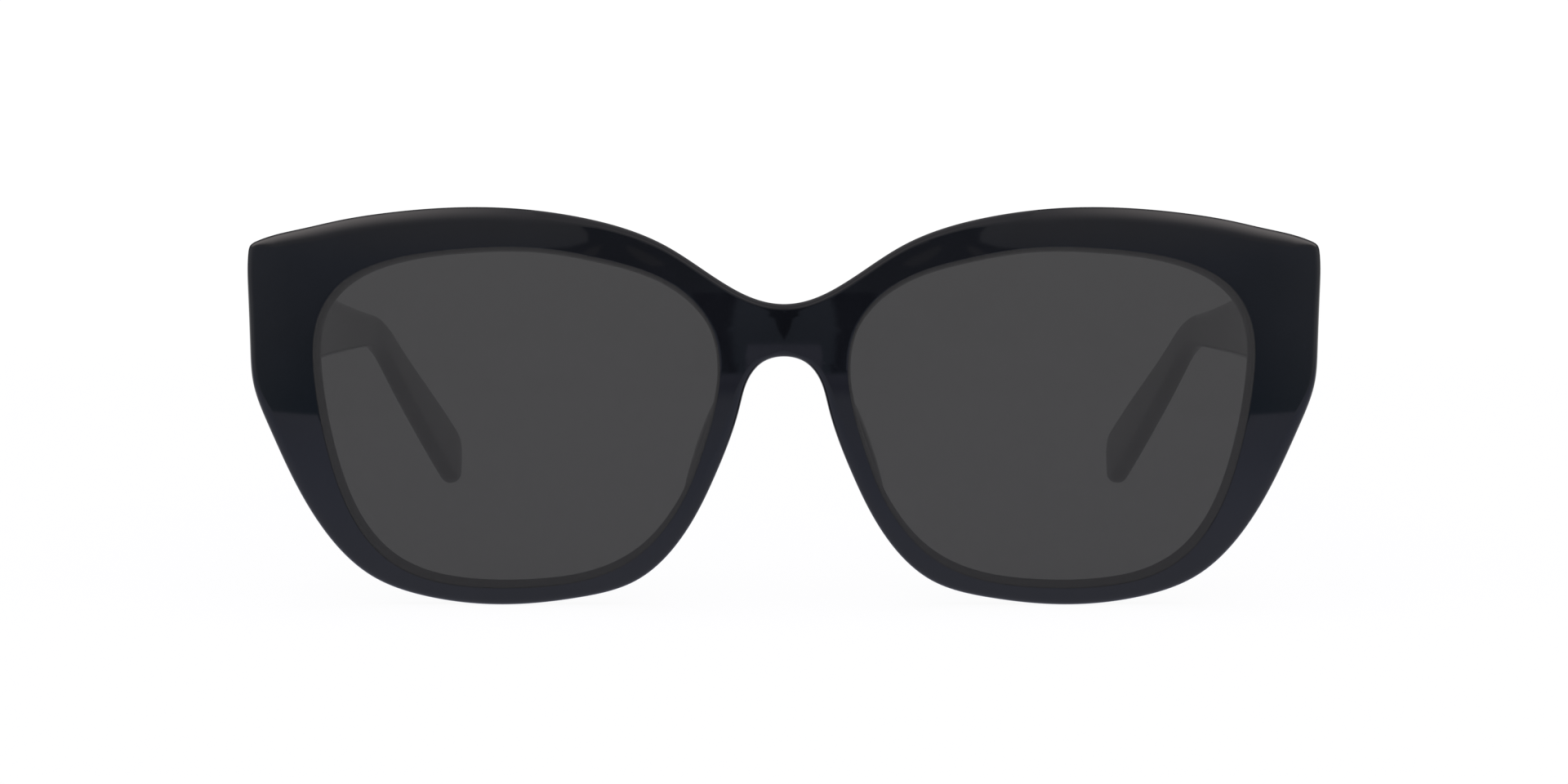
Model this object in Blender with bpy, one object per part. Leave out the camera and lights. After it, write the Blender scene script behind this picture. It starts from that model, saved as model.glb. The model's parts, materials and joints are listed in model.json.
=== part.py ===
"""Cat eye sunglasses with an acetate front, bevelled lenses and five-barrel hinges.

Row frame, in metres: +X is the wearer's left, the front faces -Y, the temples run towards +Y, and
+Z is up. The sunglasses stand open on a table, on the undersides of their rims and on their two
temple tips. The front stands upright, so each hinge turns about a vertical axis.

The front is designed flat, as (x, z) places with z measured from the middle of the lens openings,
and is then laid on a curved face that has one peak in front of each eye.
"""

import math

import bmesh
import bpy
import numpy as np

# Lens openings and bridge
LENS_WIDTH = 0.0532
LENS_HEIGHT = 0.0448
BRIDGE_WIDTH = 0.0167
BRIDGE_UNDERSIDE = 0.0080
BRIDGE_HEIGHT = 0.0069

# Rims, outside the lens openings
BROW_HEIGHT = 0.00525
LOWER_RIM_HEIGHT = 0.00245
END_PIECE_WIDTH = 0.0090
FRONT_THICKNESS = 0.0038
END_PIECE_THICKNESS = 0.0043

# Curve of the face that the front is laid on
FACE_RADIUS = 0.132
BRIDGE_ROUNDING = 0.010

# Edges of the front
FACE_EDGE_RADIUS = 0.0009
BACK_EDGE_RADIUS = 0.0006
LIP_RADIUS = 0.00015
REAR_LIP_INSET = 0.0001
GROOVE_DEPTH = 0.0007
GROOVE_HALF_WIDTH = 0.0007
SHOULDER_WIDTH = 0.0007
END_PIECE_DRAFT = 0.0005
SEAT_MARGIN = 0.0010
SEAT_FADE_BELOW = 0.0050
SEAT_FADE_ABOVE = 0.0025

# Lenses
LENS_THICKNESS = 0.0020
LENS_SETBACK = 0.0003
LENS_CLEARANCE = 0.0002

# Temples
TEMPLE_THICKNESS = 0.00435
WAIST_THICKNESS = 0.0027
TIP_THICKNESS = 0.0028
TEMPLE_STEP = 0.0015
BUTT_HEIGHT = 0.0144
WAIST_HEIGHT = 0.0050
PADDLE_HEIGHT = 0.0093
TEMPLE_STRAIGHT_LENGTH = 0.0871
BEND_RADIUS = 0.0309
DROP_ANGLE = math.radians(26.0)
DROP_LENGTH = 0.0368
INWARD_START = 0.0230
INWARD_END = 0.1167
INWARD_RADIUS = 0.471
TEMPLE_EDGE_RADIUS = 0.0010
TIP_EDGE_RADIUS = 0.0013
BUTT_GAP = 0.0002
BUTT_CHAMFER = 0.0004
FIRST_SECTION = 0.004
TIP_TURN = math.radians(83)
TIP_THINNING = 0.45
PADDLE_RISE_SHARE = 1.42
HINGE_HEIGHT = 0.0122

# Hinges
BARREL_RADIUS = 0.0015
BARREL_HEIGHT = 0.0013
BARREL_GAP = 0.0001
BARREL_COUNT = 5
AXIS_TO_PLATE = 0.0019
BARREL_TO_TEMPLE = 0.0003
PLATE_THICKNESS = 0.0010
FRONT_PLATE_WIDTH = 0.0046
TEMPLE_PLATE_LENGTH = 0.0085
POCKET_CLEARANCE = 0.0001
SCREW_RADIUS = 0.00070
SCREW_CLEARANCE = 0.00005
SCREW_HEAD_RADIUS = 0.0013
SCREW_HEAD_HEIGHT = 0.0006
SCREW_TIP = 0.0003
SCREW_TIP_SHARE = 0.6
HEAD_SIDE_SHARE = 0.6
HEAD_TOP_SHARE = 0.8

# Core wires
WIRE_THICKNESS = 0.0011
WIRE_HEIGHT = 0.0022
WIRE_EDGE_RADIUS = 0.0004
WIRE_CLEARANCE = 0.00015
WIRE_START = -0.0013
WIRE_END_MARGIN = 0.012
WIRE_END_GAP = 0.001
CUT_OVERRUN = 0.002

# Nose pads
PAD_DEPTH = 0.0058
PAD_SPLAY = 0.0011
PAD_TOP = 0.0030
PAD_BOTTOM = -0.0118
PAD_CLEARANCE = 0.00015
PAD_END_WIDTH_SHARE = 0.55
PAD_SECTION = [
    (-1, 0, 0),
    (1, 0, 0),
    (1, 0.5, 0.5),
    (0.75, 1, 0.85),
    (0.2, 1, 1),
    (-0.5, 1, 0.94),
    (-1, 0.45, 0.55),
]

# How finely curves are cut
LENS_RING_SHARE = 0.55
LENS_CORE_SHARE = 0.15
LOOP_STEPS = 3
ROUND_SIDES = 24

NOSE_EDGE = BRIDGE_WIDTH / 2
TEMPLE_EDGE = NOSE_EDGE + LENS_WIDTH
EYE_X = (NOSE_EDGE + TEMPLE_EDGE) / 2
UPPER_EDGE = LENS_HEIGHT / 2
LOWER_EDGE = -LENS_HEIGHT / 2
END_X = TEMPLE_EDGE + END_PIECE_WIDTH
TIP_START = TEMPLE_STRAIGHT_LENGTH + BEND_RADIUS * DROP_ANGLE + DROP_LENGTH
BRIDGE_TOP = BRIDGE_UNDERSIDE + BRIDGE_HEIGHT
TEMPLE_OUTER_X = END_X - TEMPLE_STEP
TEMPLE_INNER_X = TEMPLE_OUTER_X - TEMPLE_THICKNESS
AXIS_X = TEMPLE_INNER_X - BARREL_RADIUS - BARREL_TO_TEMPLE
HINGE_STACK = BARREL_COUNT * BARREL_HEIGHT + (BARREL_COUNT - 1) * BARREL_GAP


# ---------------------------------------------------------------- curves and surfaces


def smooth_loop(points, steps):
    """Closed curve through the points with even curvature, cut into `steps` pieces between each two."""
    points = np.array(points, float)
    ahead = np.roll(points, -1, axis=0)
    spans = np.linalg.norm(ahead - points, axis=1)
    before = np.roll(spans, 1)
    slopes = (ahead - points) / spans[:, None]
    index = np.arange(len(points))
    system = np.zeros((len(points), len(points)))
    system[index, index] = 2 * (spans + before)
    system[index, index - 1] = spans
    system[index, (index + 1) % len(points)] = before
    pull = 3 * (spans[:, None] * np.roll(slopes, 1, axis=0) + before[:, None] * slopes)
    tangents = np.linalg.solve(system, pull)
    t = (np.arange(steps) / steps)[None, :, None]
    start = points[:, None]
    end = ahead[:, None]
    leave = (spans[:, None] * tangents)[:, None]
    arrive = (spans[:, None] * np.roll(tangents, -1, axis=0))[:, None]
    curve = (2 * t**3 - 3 * t**2 + 1) * start + (3 * t**2 - 2 * t**3) * end
    curve = curve + (t**3 - 2 * t**2 + t) * leave + (t**3 - t**2) * arrive
    return curve.reshape(-1, 2)


def outward_normals(loop):
    """Unit normals that point out of a counter-clockwise loop."""
    run = np.roll(loop, -1, axis=0) - np.roll(loop, 1, axis=0)
    normals = np.stack([run[:, 1], -run[:, 0]], axis=1)
    return normals / np.linalg.norm(normals, axis=1, keepdims=True)


def smooth_step(low, high, value):
    """0 below low, 1 above high, and a smooth rise between."""
    share = np.clip((value - low) / (high - low), 0, 1)
    return share * share * (3 - 2 * share)


def face_depth(x, z):
    """How far the curved face lies behind its two peaks at flat place (x, z)."""
    reach = np.sqrt(np.square(x) + BRIDGE_ROUNDING**2)
    return (np.square(reach - EYE_X) + np.square(z)) / (2 * FACE_RADIUS)


def on_face(x, z, depth):
    """Points at flat places (x, z), `depth` behind the curved face along its normal."""
    x, z, depth = np.broadcast_arrays(x, z, depth)
    reach = np.sqrt(np.square(x) + BRIDGE_ROUNDING**2)
    slope_x = (reach - EYE_X) * x / reach / FACE_RADIUS
    slope_z = z / FACE_RADIUS
    normal = np.stack([-slope_x, np.ones_like(slope_x), -slope_z], axis=-1)
    normal = normal / np.linalg.norm(normal, axis=-1, keepdims=True)
    face = np.stack([x, face_depth(x, z), z], axis=-1)
    return face + depth[..., None] * normal


END_PIECE_BACK = float(face_depth(END_X, HINGE_HEIGHT)) + END_PIECE_THICKNESS
AXIS_Y = END_PIECE_BACK + AXIS_TO_PLATE
GROOVE_DISTANCE = LENS_SETBACK + LENS_THICKNESS / 2


def lens_loop(steps):
    """Edge of the left lens opening at the face, counter-clockwise from the nose side."""
    shape = [
        (-0.969, 0.02),
        (-0.911, -0.21),
        (-0.84, -0.43),
        (-0.74, -0.63),
        (-0.605, -0.80),
        (-0.44, -0.912),
        (-0.08, -0.993),
        (0.28, -0.986),
        (0.475, -0.938),
        (0.65, -0.826),
        (0.78, -0.65),
        (0.926, -0.218),
        (0.997, 0.265),
        (0.987, 0.54),
        (0.876, 0.77),
        (0.67, 0.906),
        (0.265, 0.99),
        (-0.087, 0.997),
        (-0.44, 0.927),
        (-0.635, 0.86),
        (-0.825, 0.735),
        (-0.96, 0.53),
        (-1.0, 0.27),
    ]
    places = [(EYE_X + u * LENS_WIDTH / 2, v * LENS_HEIGHT / 2) for u, v in shape]
    return smooth_loop(places, steps)


def rim_half(steps):
    """Outline of the front's left half, from under the bridge round the rim to the top of the bridge.

    Its points are shares of the lens opening, the rims and the bridge, so it keeps clear of the lens.
    """
    waist = UPPER_EDGE - BRIDGE_TOP
    half = [
        (0, BRIDGE_UNDERSIDE),
        (0.32 * NOSE_EDGE, 0.9125 * BRIDGE_UNDERSIDE),
        (0.54 * NOSE_EDGE, 0.65 * BRIDGE_UNDERSIDE),
        (0.685 * NOSE_EDGE, 0.1625 * BRIDGE_UNDERSIDE),
        (1.048 * NOSE_EDGE, 0.326 * LOWER_EDGE),
        (NOSE_EDGE + 0.094 * LENS_WIDTH, 0.714 * LOWER_EDGE),
        (NOSE_EDGE + 0.207 * LENS_WIDTH, 0.969 * LOWER_EDGE),
        (NOSE_EDGE + 0.346 * LENS_WIDTH, LOWER_EDGE - 0.61 * LOWER_RIM_HEIGHT),
        (EYE_X + 0.0376 * LENS_WIDTH, LOWER_EDGE - LOWER_RIM_HEIGHT),
        (TEMPLE_EDGE - 0.271 * LENS_WIDTH, LOWER_EDGE - 0.57 * LOWER_RIM_HEIGHT),
        (TEMPLE_EDGE - 0.137 * LENS_WIDTH, 0.946 * LOWER_EDGE),
        (TEMPLE_EDGE - 0.013 * LENS_WIDTH, 0.656 * LOWER_EDGE),
        (TEMPLE_EDGE + 0.70 * END_PIECE_WIDTH, 0.058 * LOWER_EDGE),
        (END_X - 0.078 * END_PIECE_WIDTH, 0.1875 * UPPER_EDGE),
        (END_X - 0.033 * END_PIECE_WIDTH, 0.402 * UPPER_EDGE),
        (END_X, 0.737 * UPPER_EDGE),
        (END_X, 0.951 * UPPER_EDGE),
        (END_X - 0.033 * END_PIECE_WIDTH, UPPER_EDGE),
        (END_X - 0.133 * END_PIECE_WIDTH, UPPER_EDGE + 0.114 * BROW_HEIGHT),
        (TEMPLE_EDGE + 0.2 * END_PIECE_WIDTH, UPPER_EDGE + 0.438 * BROW_HEIGHT),
        (TEMPLE_EDGE - 0.056 * LENS_WIDTH, UPPER_EDGE + 0.648 * BROW_HEIGHT),
        (TEMPLE_EDGE - 0.182 * LENS_WIDTH, UPPER_EDGE + 0.857 * BROW_HEIGHT),
        (EYE_X + 0.056 * LENS_WIDTH, UPPER_EDGE + BROW_HEIGHT),
        (NOSE_EDGE + 0.331 * LENS_WIDTH, UPPER_EDGE + 0.733 * BROW_HEIGHT),
        (NOSE_EDGE + 0.135 * LENS_WIDTH, UPPER_EDGE + 0.057 * BROW_HEIGHT),
        (0.86 * NOSE_EDGE, BRIDGE_TOP + 0.32 * waist),
        (0.38 * NOSE_EDGE, BRIDGE_TOP + 0.067 * waist),
        (0, BRIDGE_TOP),
    ]
    mirrored = [(-x, z) for x, z in reversed(half[1:-1])]
    whole = smooth_loop(half + mirrored, steps)
    normals = outward_normals(whole)
    count = (len(half) - 1) * steps + 1
    return whole[:count], normals[:count]


def lowest_of_rims():
    """Height of the rims' undersides on the curved face."""
    outline, _ = rim_half(LOOP_STEPS)
    return float(on_face(*outline.T, FACE_EDGE_RADIUS)[:, 2].min())


FLOOR_Z = lowest_of_rims()


def lip_facing(places):
    """Points of the lens opening in the direction of each flat place, and their outward normals."""
    loop = lens_loop(24)
    normals = outward_normals(loop)
    centre = np.array([EYE_X, 0])
    around = np.arctan2(*(loop - centre).T[::-1])
    wanted = np.arctan2(*(places - centre).T[::-1])
    found = [
        np.interp(wanted, around, values, period=2 * math.pi)
        for values in (*loop.T, *normals.T)
    ]
    return np.stack(found[:2], axis=1), np.stack(found[2:], axis=1)


# ---------------------------------------------------------------- mesh helpers


def clear_scene():
    for item in list(bpy.data.objects):
        bpy.data.objects.remove(item)


def make_material(name, colour, roughness, metallic=0.0, alpha=1.0):
    material = bpy.data.materials.new(name)
    material.use_nodes = True
    shader = material.node_tree.nodes["Principled BSDF"]
    shader.inputs["Base Color"].default_value = (*colour, 1)
    shader.inputs["Roughness"].default_value = roughness
    shader.inputs["Metallic"].default_value = metallic
    shader.inputs["Alpha"].default_value = alpha
    return material


def make_object(name, points, faces, material=None, parent=None, mirror=False):
    """Object from points and faces; mirror turns a left piece into a right one."""
    points = np.array(points, float)
    if mirror:
        points = points * [-1, 1, 1]
        faces = [tuple(reversed(face)) for face in faces]
    mesh = bpy.data.meshes.new(name)
    mesh.from_pydata(points.tolist(), [], [tuple(map(int, face)) for face in faces])
    mesh.validate()
    item = bpy.data.objects.new(name, mesh)
    bpy.context.scene.collection.objects.link(item)
    item.parent = parent
    if material:
        mesh.materials.append(material)
        mesh.shade_smooth()
        mesh.set_sharp_from_angle(angle=math.radians(30))
    return item


def stacked_rings(rings, close=True):
    """Points and faces of a skin through equal rings, each an (n, 3) array, with flat ends."""
    count = len(rings[0])
    points = np.concatenate(rings)
    faces = []
    for ring in range(len(rings) - 1):
        for side in range(count):
            after = (side + 1) % count
            base = ring * count
            faces.append((base + side, base + after, base + count + after, base + count + side))
    if close:
        faces.append(tuple(reversed(range(count))))
        faces.append(tuple(range(len(points) - count, len(points))))
    return points, faces


def add_boolean(item, operation, other):
    """Cuts or joins with a helper that isn't rendered."""
    other.hide_render = True
    other.display_type = "WIRE"
    modifier = item.modifiers.new(other.name, "BOOLEAN")
    modifier.operation = operation
    modifier.object = other
    modifier.solver = "EXACT"


def box(low, high):
    """Points and faces of a box between two corners."""
    x0, y0, z0 = low
    x1, y1, z1 = high
    lower = np.array([(x0, y0, z0), (x1, y0, z0), (x1, y1, z0), (x0, y1, z0)])
    return stacked_rings([lower, lower + [0, 0, z1 - z0]])


def lathe(profile):
    """Points and faces of a solid turned about Z from (radius, height) pairs, bottom to top."""
    turn = np.arange(ROUND_SIDES) * 2 * math.pi / ROUND_SIDES
    rings = [
        np.stack([radius * np.cos(turn), radius * np.sin(turn), np.full(ROUND_SIDES, height)], 1)
        for radius, height in profile
    ]
    return stacked_rings(rings)


def join_shapes(shapes):
    """Several closed shapes as one list of points and faces."""
    points = []
    faces = []
    for shape_points, shape_faces in shapes:
        start = len(points)
        points.extend(shape_points)
        faces.extend(tuple(start + index for index in face) for face in shape_faces)
    return points, faces


# ---------------------------------------------------------------- front


def arc_shares(steps):
    """(inset, rise) shares of a quarter round, from its side to its top."""
    turn = np.linspace(0, math.pi / 2, steps + 1)
    return np.stack([1 - np.cos(turn), 1 - np.sin(turn)], axis=1)


def laid_back(x, z, depth):
    """Places on the back of the front, where each end-piece is milled to a flat for its temple."""
    natural = on_face(x, z, depth)
    seat_y = np.full(len(x), END_PIECE_BACK - FRONT_THICKNESS + depth)
    seat = np.stack([x - END_PIECE_DRAFT, seat_y, z], axis=-1)
    sideways = smooth_step(TEMPLE_EDGE + LIP_RADIUS, TEMPLE_EDGE + LIP_RADIUS + SHOULDER_WIDTH, x)
    low = HINGE_HEIGHT - BUTT_HEIGHT / 2 - SEAT_MARGIN
    high = HINGE_HEIGHT + BUTT_HEIGHT / 2 + SEAT_MARGIN
    upright = smooth_step(low - SEAT_FADE_BELOW, low, z)
    upright = upright * (1 - smooth_step(high, high + SEAT_FADE_ABOVE, z))
    share = (sideways * upright)[..., None]
    return natural * (1 - share) + seat * share


def front_sections():
    """Cross-sections of the left half of the front, one round each station of its outline.

    The stations along the middle of the bridge hold only the points from the face round the lens
    opening to the back, because the mirrored half starts there.
    """
    outline, outline_normals = rim_half(LOOP_STEPS)
    low = BRIDGE_UNDERSIDE + FACE_EDGE_RADIUS
    high = BRIDGE_TOP - FACE_EDGE_RADIUS
    middle = np.array([(0, z) for z in np.linspace(high, low, LOOP_STEPS + 2)[1:-1]])
    places = np.concatenate([outline, middle])
    inward = np.concatenate([-outline_normals, np.zeros_like(middle)])
    lip, outward = lip_facing(places)

    sections = []
    for inset, rise in arc_shares(2):
        flat = places + inward * FACE_EDGE_RADIUS * inset
        sections.append(on_face(*flat.T, FACE_EDGE_RADIUS * rise))
    rim_face = places + inward * FACE_EDGE_RADIUS
    lip_face = lip + outward * LIP_RADIUS
    sections.append(on_face(*((rim_face + lip_face) / 2).T, 0.0))
    sections.append(on_face(*lip_face.T, 0.0))
    sections.append(on_face(*lip.T, LIP_RADIUS))
    sections.append(on_face(*lip.T, GROOVE_DISTANCE - GROOVE_HALF_WIDTH))
    sections.append(on_face(*(lip + outward * GROOVE_DEPTH).T, GROOVE_DISTANCE))
    sections.append(on_face(*(lip - outward * REAR_LIP_INSET / 2).T, GROOVE_DISTANCE + GROOVE_HALF_WIDTH))
    rear_lip = lip - outward * REAR_LIP_INSET
    sections.append(on_face(*rear_lip.T, FRONT_THICKNESS - LIP_RADIUS))
    rear_face = lip + outward * (LIP_RADIUS - REAR_LIP_INSET)
    rim_back = places + inward * BACK_EDGE_RADIUS
    for share in (0, 0.1, 0.5):
        flat = rear_face * (1 - share) + rim_back * share
        sections.append(laid_back(*flat.T, FRONT_THICKNESS))
    for inset, rise in arc_shares(2)[::-1]:
        flat = places + inward * BACK_EDGE_RADIUS * inset
        sections.append(laid_back(*flat.T, FRONT_THICKNESS - BACK_EDGE_RADIUS * rise))
    return np.stack(sections, axis=1), len(outline)


def make_front(material):
    sections, outline_count = front_sections()
    count, size = sections.shape[:2]
    face_edge = 2
    back_edge = size - 3
    faces = []
    for station in range(count):
        after = (station + 1) % count
        inner_only = max(station, after) >= outline_count
        for side in range(size):
            if inner_only and not face_edge <= side < back_edge:
                continue
            ahead = (side + 1) % size
            faces.append(
                (
                    station * size + side,
                    station * size + ahead,
                    after * size + ahead,
                    after * size + side,
                )
            )
    front = make_object("front_frame", sections.reshape(-1, 3), faces, material)
    mesh = bmesh.new()
    mesh.from_mesh(front.data)
    loose = [vert for vert in mesh.verts if not vert.link_faces]
    bmesh.ops.delete(mesh, geom=loose, context="VERTS")
    mesh.to_mesh(front.data)
    mesh.free()
    mirror = front.modifiers.new("two halves", "MIRROR")
    mirror.use_axis = (True, False, False)
    mirror.use_clip = True
    mirror.merge_threshold = 0.00001
    front.modifiers.new("flat faces", "TRIANGULATE")
    return front


# ---------------------------------------------------------------- lenses and nose pads


def make_lens(name, material, mirror):
    """Meniscus lens, its bevel seated in the rim's groove with the lens clearance all round."""
    loop = lens_loop(LOOP_STEPS)
    normals = outward_normals(loop)
    centre = np.array([EYE_X, 0])
    back = LENS_SETBACK + LENS_THICKNESS
    bevel = GROOVE_HALF_WIDTH - LENS_CLEARANCE / 2
    edge = loop - normals * LENS_CLEARANCE
    apex = loop + normals * (GROOVE_DEPTH - LENS_CLEARANCE)
    rear = edge - normals * REAR_LIP_INSET
    inner = centre + (edge - centre) * LENS_RING_SHARE
    core = centre + (edge - centre) * LENS_CORE_SHARE
    rings = [
        on_face(*core.T, LENS_SETBACK),
        on_face(*inner.T, LENS_SETBACK),
        on_face(*edge.T, LENS_SETBACK),
        on_face(*edge.T, GROOVE_DISTANCE - bevel),
        on_face(*apex.T, GROOVE_DISTANCE),
        on_face(*rear.T, GROOVE_DISTANCE + bevel),
        on_face(*rear.T, back),
        on_face(*inner.T, back),
        on_face(*core.T, back),
    ]
    points, faces = stacked_rings([ring[::-1] for ring in rings])
    return make_object(name, points, faces, material, mirror=mirror)


def make_nose_pad(name, material, mirror):
    """Pad bonded behind the nose side of a rim: full in the middle, it fades out at both ends."""
    outline, normals = rim_half(12)
    nose_side = (outline[:, 0] < EYE_X) & (outline[:, 1] < BRIDGE_UNDERSIDE)
    wanted = np.linspace(PAD_BOTTOM, PAD_TOP, 9)
    heights = outline[nose_side, 1][::-1]
    rim = np.stack([np.interp(wanted, heights, outline[nose_side, 0][::-1]), wanted], axis=1)
    inward = np.stack(
        [-np.interp(wanted, heights, normals[nose_side, axis][::-1]) for axis in (0, 1)], axis=1
    )
    lip, outward = lip_facing(rim)
    share = (wanted - PAD_BOTTOM) / (PAD_TOP - PAD_BOTTOM)
    swell = np.sqrt(np.clip(1 - (2 * share - 1) ** 2, 0.04, 1))
    rings = []
    for place, direction, edge, away, full in zip(rim, inward, lip, outward, swell, strict=True):
        near = place + direction * BACK_EDGE_RADIUS
        far = edge + away * LIP_RADIUS
        middle = (near + far) / 2
        half = (far - near) / 2 * (PAD_END_WIDTH_SHARE + (1 - PAD_END_WIDTH_SHARE) * full)
        lean = direction * PAD_SPLAY * full
        flat = [middle + half * sideways + lean * leaning for sideways, leaning, _ in PAD_SECTION]
        ring = on_face(*np.array(flat).T, FRONT_THICKNESS + PAD_CLEARANCE)
        back = [(0, PAD_DEPTH * full * rising, 0) for _, _, rising in PAD_SECTION]
        rings.append(ring + back)
    points, faces = stacked_rings(rings)
    return make_object(name, points, faces, material, mirror=mirror)


# ---------------------------------------------------------------- temples


def temple_path(start, end_margin=0.0, cap_steps=6):
    """Distances from the hinge axis at which the temple has a section, the last ones round its tip."""
    straight = np.linspace(start, TEMPLE_STRAIGHT_LENGTH, 10)[:-1]
    curved = np.linspace(TEMPLE_STRAIGHT_LENGTH, TIP_START - end_margin, 15)
    if not cap_steps:
        return np.concatenate([straight, curved])
    cap = TIP_START + PADDLE_HEIGHT / 2 * np.sin(np.linspace(0, TIP_TURN, cap_steps)[1:])
    return np.concatenate([straight, curved, cap])


def temple_side_place(distance):
    """(along, rise) of the temple's centre line seen from the side, before it is tilted."""
    in_bend = np.clip(distance - TEMPLE_STRAIGHT_LENGTH, 0, BEND_RADIUS * DROP_ANGLE)
    angle = in_bend / BEND_RADIUS
    past = np.maximum(distance - TEMPLE_STRAIGHT_LENGTH - BEND_RADIUS * DROP_ANGLE, 0)
    along = np.minimum(distance, TEMPLE_STRAIGHT_LENGTH)
    along = along + BEND_RADIUS * np.sin(angle) + past * math.cos(DROP_ANGLE)
    rise = -BEND_RADIUS * (1 - np.cos(angle)) - past * math.sin(DROP_ANGLE)
    return along, rise


def temple_frame(distance):
    """Centre line, unit (side, up) axes and thickness at each distance from the hinge axis, untilted.

    Seen from above, the line is straight, then an arc that turns inwards, then straight again.
    """
    fine = np.linspace(-BUTT_HEIGHT, TIP_START + PADDLE_HEIGHT, 800)
    along, rise = temple_side_place(fine)
    stations = (0, TEMPLE_STRAIGHT_LENGTH, TIP_START)
    thickness = np.interp(fine, stations, (TEMPLE_THICKNESS, WAIST_THICKNESS, TIP_THICKNESS))
    curving = np.clip(fine, INWARD_START, INWARD_END) - INWARD_START
    past = np.maximum(fine - INWARD_END, 0)
    inward = (curving**2 / 2 + curving * past) / INWARD_RADIUS
    side = TEMPLE_OUTER_X - AXIS_X - thickness / 2 - inward
    line = np.stack([side, along, rise], axis=1)
    tangent = np.gradient(line, axis=0)
    tangent /= np.linalg.norm(tangent, axis=1, keepdims=True)
    up = np.cross([1.0, 0, 0], tangent)
    up /= np.linalg.norm(up, axis=1, keepdims=True)
    across = np.cross(tangent, up)
    at = [np.stack([np.interp(distance, fine, v[:, k]) for k in range(3)], 1) for v in (line, across, up)]
    return (*at, np.interp(distance, fine, thickness))


def temple_height(distance):
    """Height of the temple, with its waist and paddle, and how much of its thickness its tip keeps."""
    taper = np.clip(distance / TEMPLE_STRAIGHT_LENGTH, 0, 1)
    narrowing = BUTT_HEIGHT + (WAIST_HEIGHT - BUTT_HEIGHT) * taper
    paddle_full = TEMPLE_STRAIGHT_LENGTH + PADDLE_RISE_SHARE * DROP_LENGTH
    paddle = smooth_step(TEMPLE_STRAIGHT_LENGTH, paddle_full, distance)
    height = narrowing + (PADDLE_HEIGHT - WAIST_HEIGHT) * paddle
    beyond = np.clip((distance - TIP_START) / (PADDLE_HEIGHT / 2), 0, 1)
    return height * np.sqrt(1 - beyond**2), 1 - TIP_THINNING * beyond**4


def rounded_rectangle(width, height, radius, steps):
    """(across, up) points of a rounded rectangle, counter-clockwise seen along the temple."""
    radius = min(radius, 0.49 * width, 0.49 * height)
    points = []
    for corner in range(4):
        turn = np.linspace(0, math.pi / 2, steps + 1) + corner * math.pi / 2
        sign_x = 1 if corner in (0, 3) else -1
        sign_z = 1 if corner in (0, 1) else -1
        centre = (sign_x * (width / 2 - radius), sign_z * (height / 2 - radius))
        points.extend((centre[0] + radius * math.cos(a), centre[1] + radius * math.sin(a)) for a in turn)
    return np.array(points)


def level_sections(distance, widths, heights, radii, steps):
    """Sections of the temple or its wire, in the hinge's frame, before the temple is tilted."""
    line, across, up, _ = temple_frame(distance)
    sections = []
    for centre, side, rise, *shape in zip(line, across, up, widths, heights, radii, strict=True):
        flat = rounded_rectangle(*shape, steps)
        sections.append(centre + flat[:, :1] * side + flat[:, 1:] * rise)
    return sections


def level_temple():
    """Sections of the temple behind its butt, before it is tilted."""
    distance = temple_path(FIRST_SECTION)
    _, _, _, thickness = temple_frame(distance)
    height, thinning = temple_height(distance)
    softer = smooth_step(0, TEMPLE_STRAIGHT_LENGTH + DROP_LENGTH, distance)
    radius = TEMPLE_EDGE_RADIUS + (TIP_EDGE_RADIUS - TEMPLE_EDGE_RADIUS) * softer
    return level_sections(distance, thickness * thinning, height, radius, 3)


def floor_tilt():
    """Angle that a temple slopes down by until the first of its points touches the table."""
    _, along, rise = np.concatenate(level_temple()).T
    reach = np.hypot(along, rise)
    touching = reach > HINGE_HEIGHT - FLOOR_Z
    angles = np.arcsin((HINGE_HEIGHT - FLOOR_Z) / reach[touching])
    return float(np.min(angles + np.arctan2(rise, along)[touching]))


TEMPLE_TILT = floor_tilt()


def tilted(points):
    """Points turned down about the hinge's cross axis by the temple's tilt."""
    along = points[..., 1] * math.cos(TEMPLE_TILT) + points[..., 2] * math.sin(TEMPLE_TILT)
    rise = points[..., 2] * math.cos(TEMPLE_TILT) - points[..., 1] * math.sin(TEMPLE_TILT)
    return np.stack([points[..., 0], along, rise], axis=-1)


def butt_cut(ring, place):
    """A ring slid along the tilted temple onto the upright plane y = place."""
    slide = (place - ring[:, 1]) / math.cos(TEMPLE_TILT)
    direction = np.array([0, math.cos(TEMPLE_TILT), -math.sin(TEMPLE_TILT)])
    return ring + slide[:, None] * direction


def butt_ring(inset):
    """Section of the temple at the hinge axis, drawn in by an inset on every side."""
    start = np.array([0.0])
    _, _, _, thickness = temple_frame(start)
    height, _ = temple_height(start)
    shape = (thickness - 2 * inset, height - 2 * inset, [TEMPLE_EDGE_RADIUS])
    return tilted(level_sections(start, *shape, 3)[0])


def make_temple(name, material, hinge, mirror):
    """Temple with a flat butt, a drop and a paddle tip, in its hinge's frame."""
    butt = -(AXIS_TO_PLATE - BUTT_GAP)
    rings = [
        butt_cut(butt_ring(BUTT_CHAMFER), butt),
        butt_cut(butt_ring(0), butt + BUTT_CHAMFER),
        *(tilted(section) for section in level_temple()),
    ]
    points, faces = stacked_rings([ring[::-1] for ring in rings])
    return make_object(name, points, faces, material, hinge, mirror)


def wire_shape(clearance, start, end_margin):
    """Flat wire along the middle of the temple, or with a clearance the channel that holds it."""
    distance = temple_path(start, end_margin, cap_steps=0)
    widths = np.full(len(distance), WIRE_THICKNESS + 2 * clearance)
    heights = np.full(len(distance), WIRE_HEIGHT + 2 * clearance)
    radii = np.full(len(distance), WIRE_EDGE_RADIUS + clearance)
    sections = level_sections(distance, widths, heights, radii, 1)
    return stacked_rings([tilted(section[::-1]) for section in sections])


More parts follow.
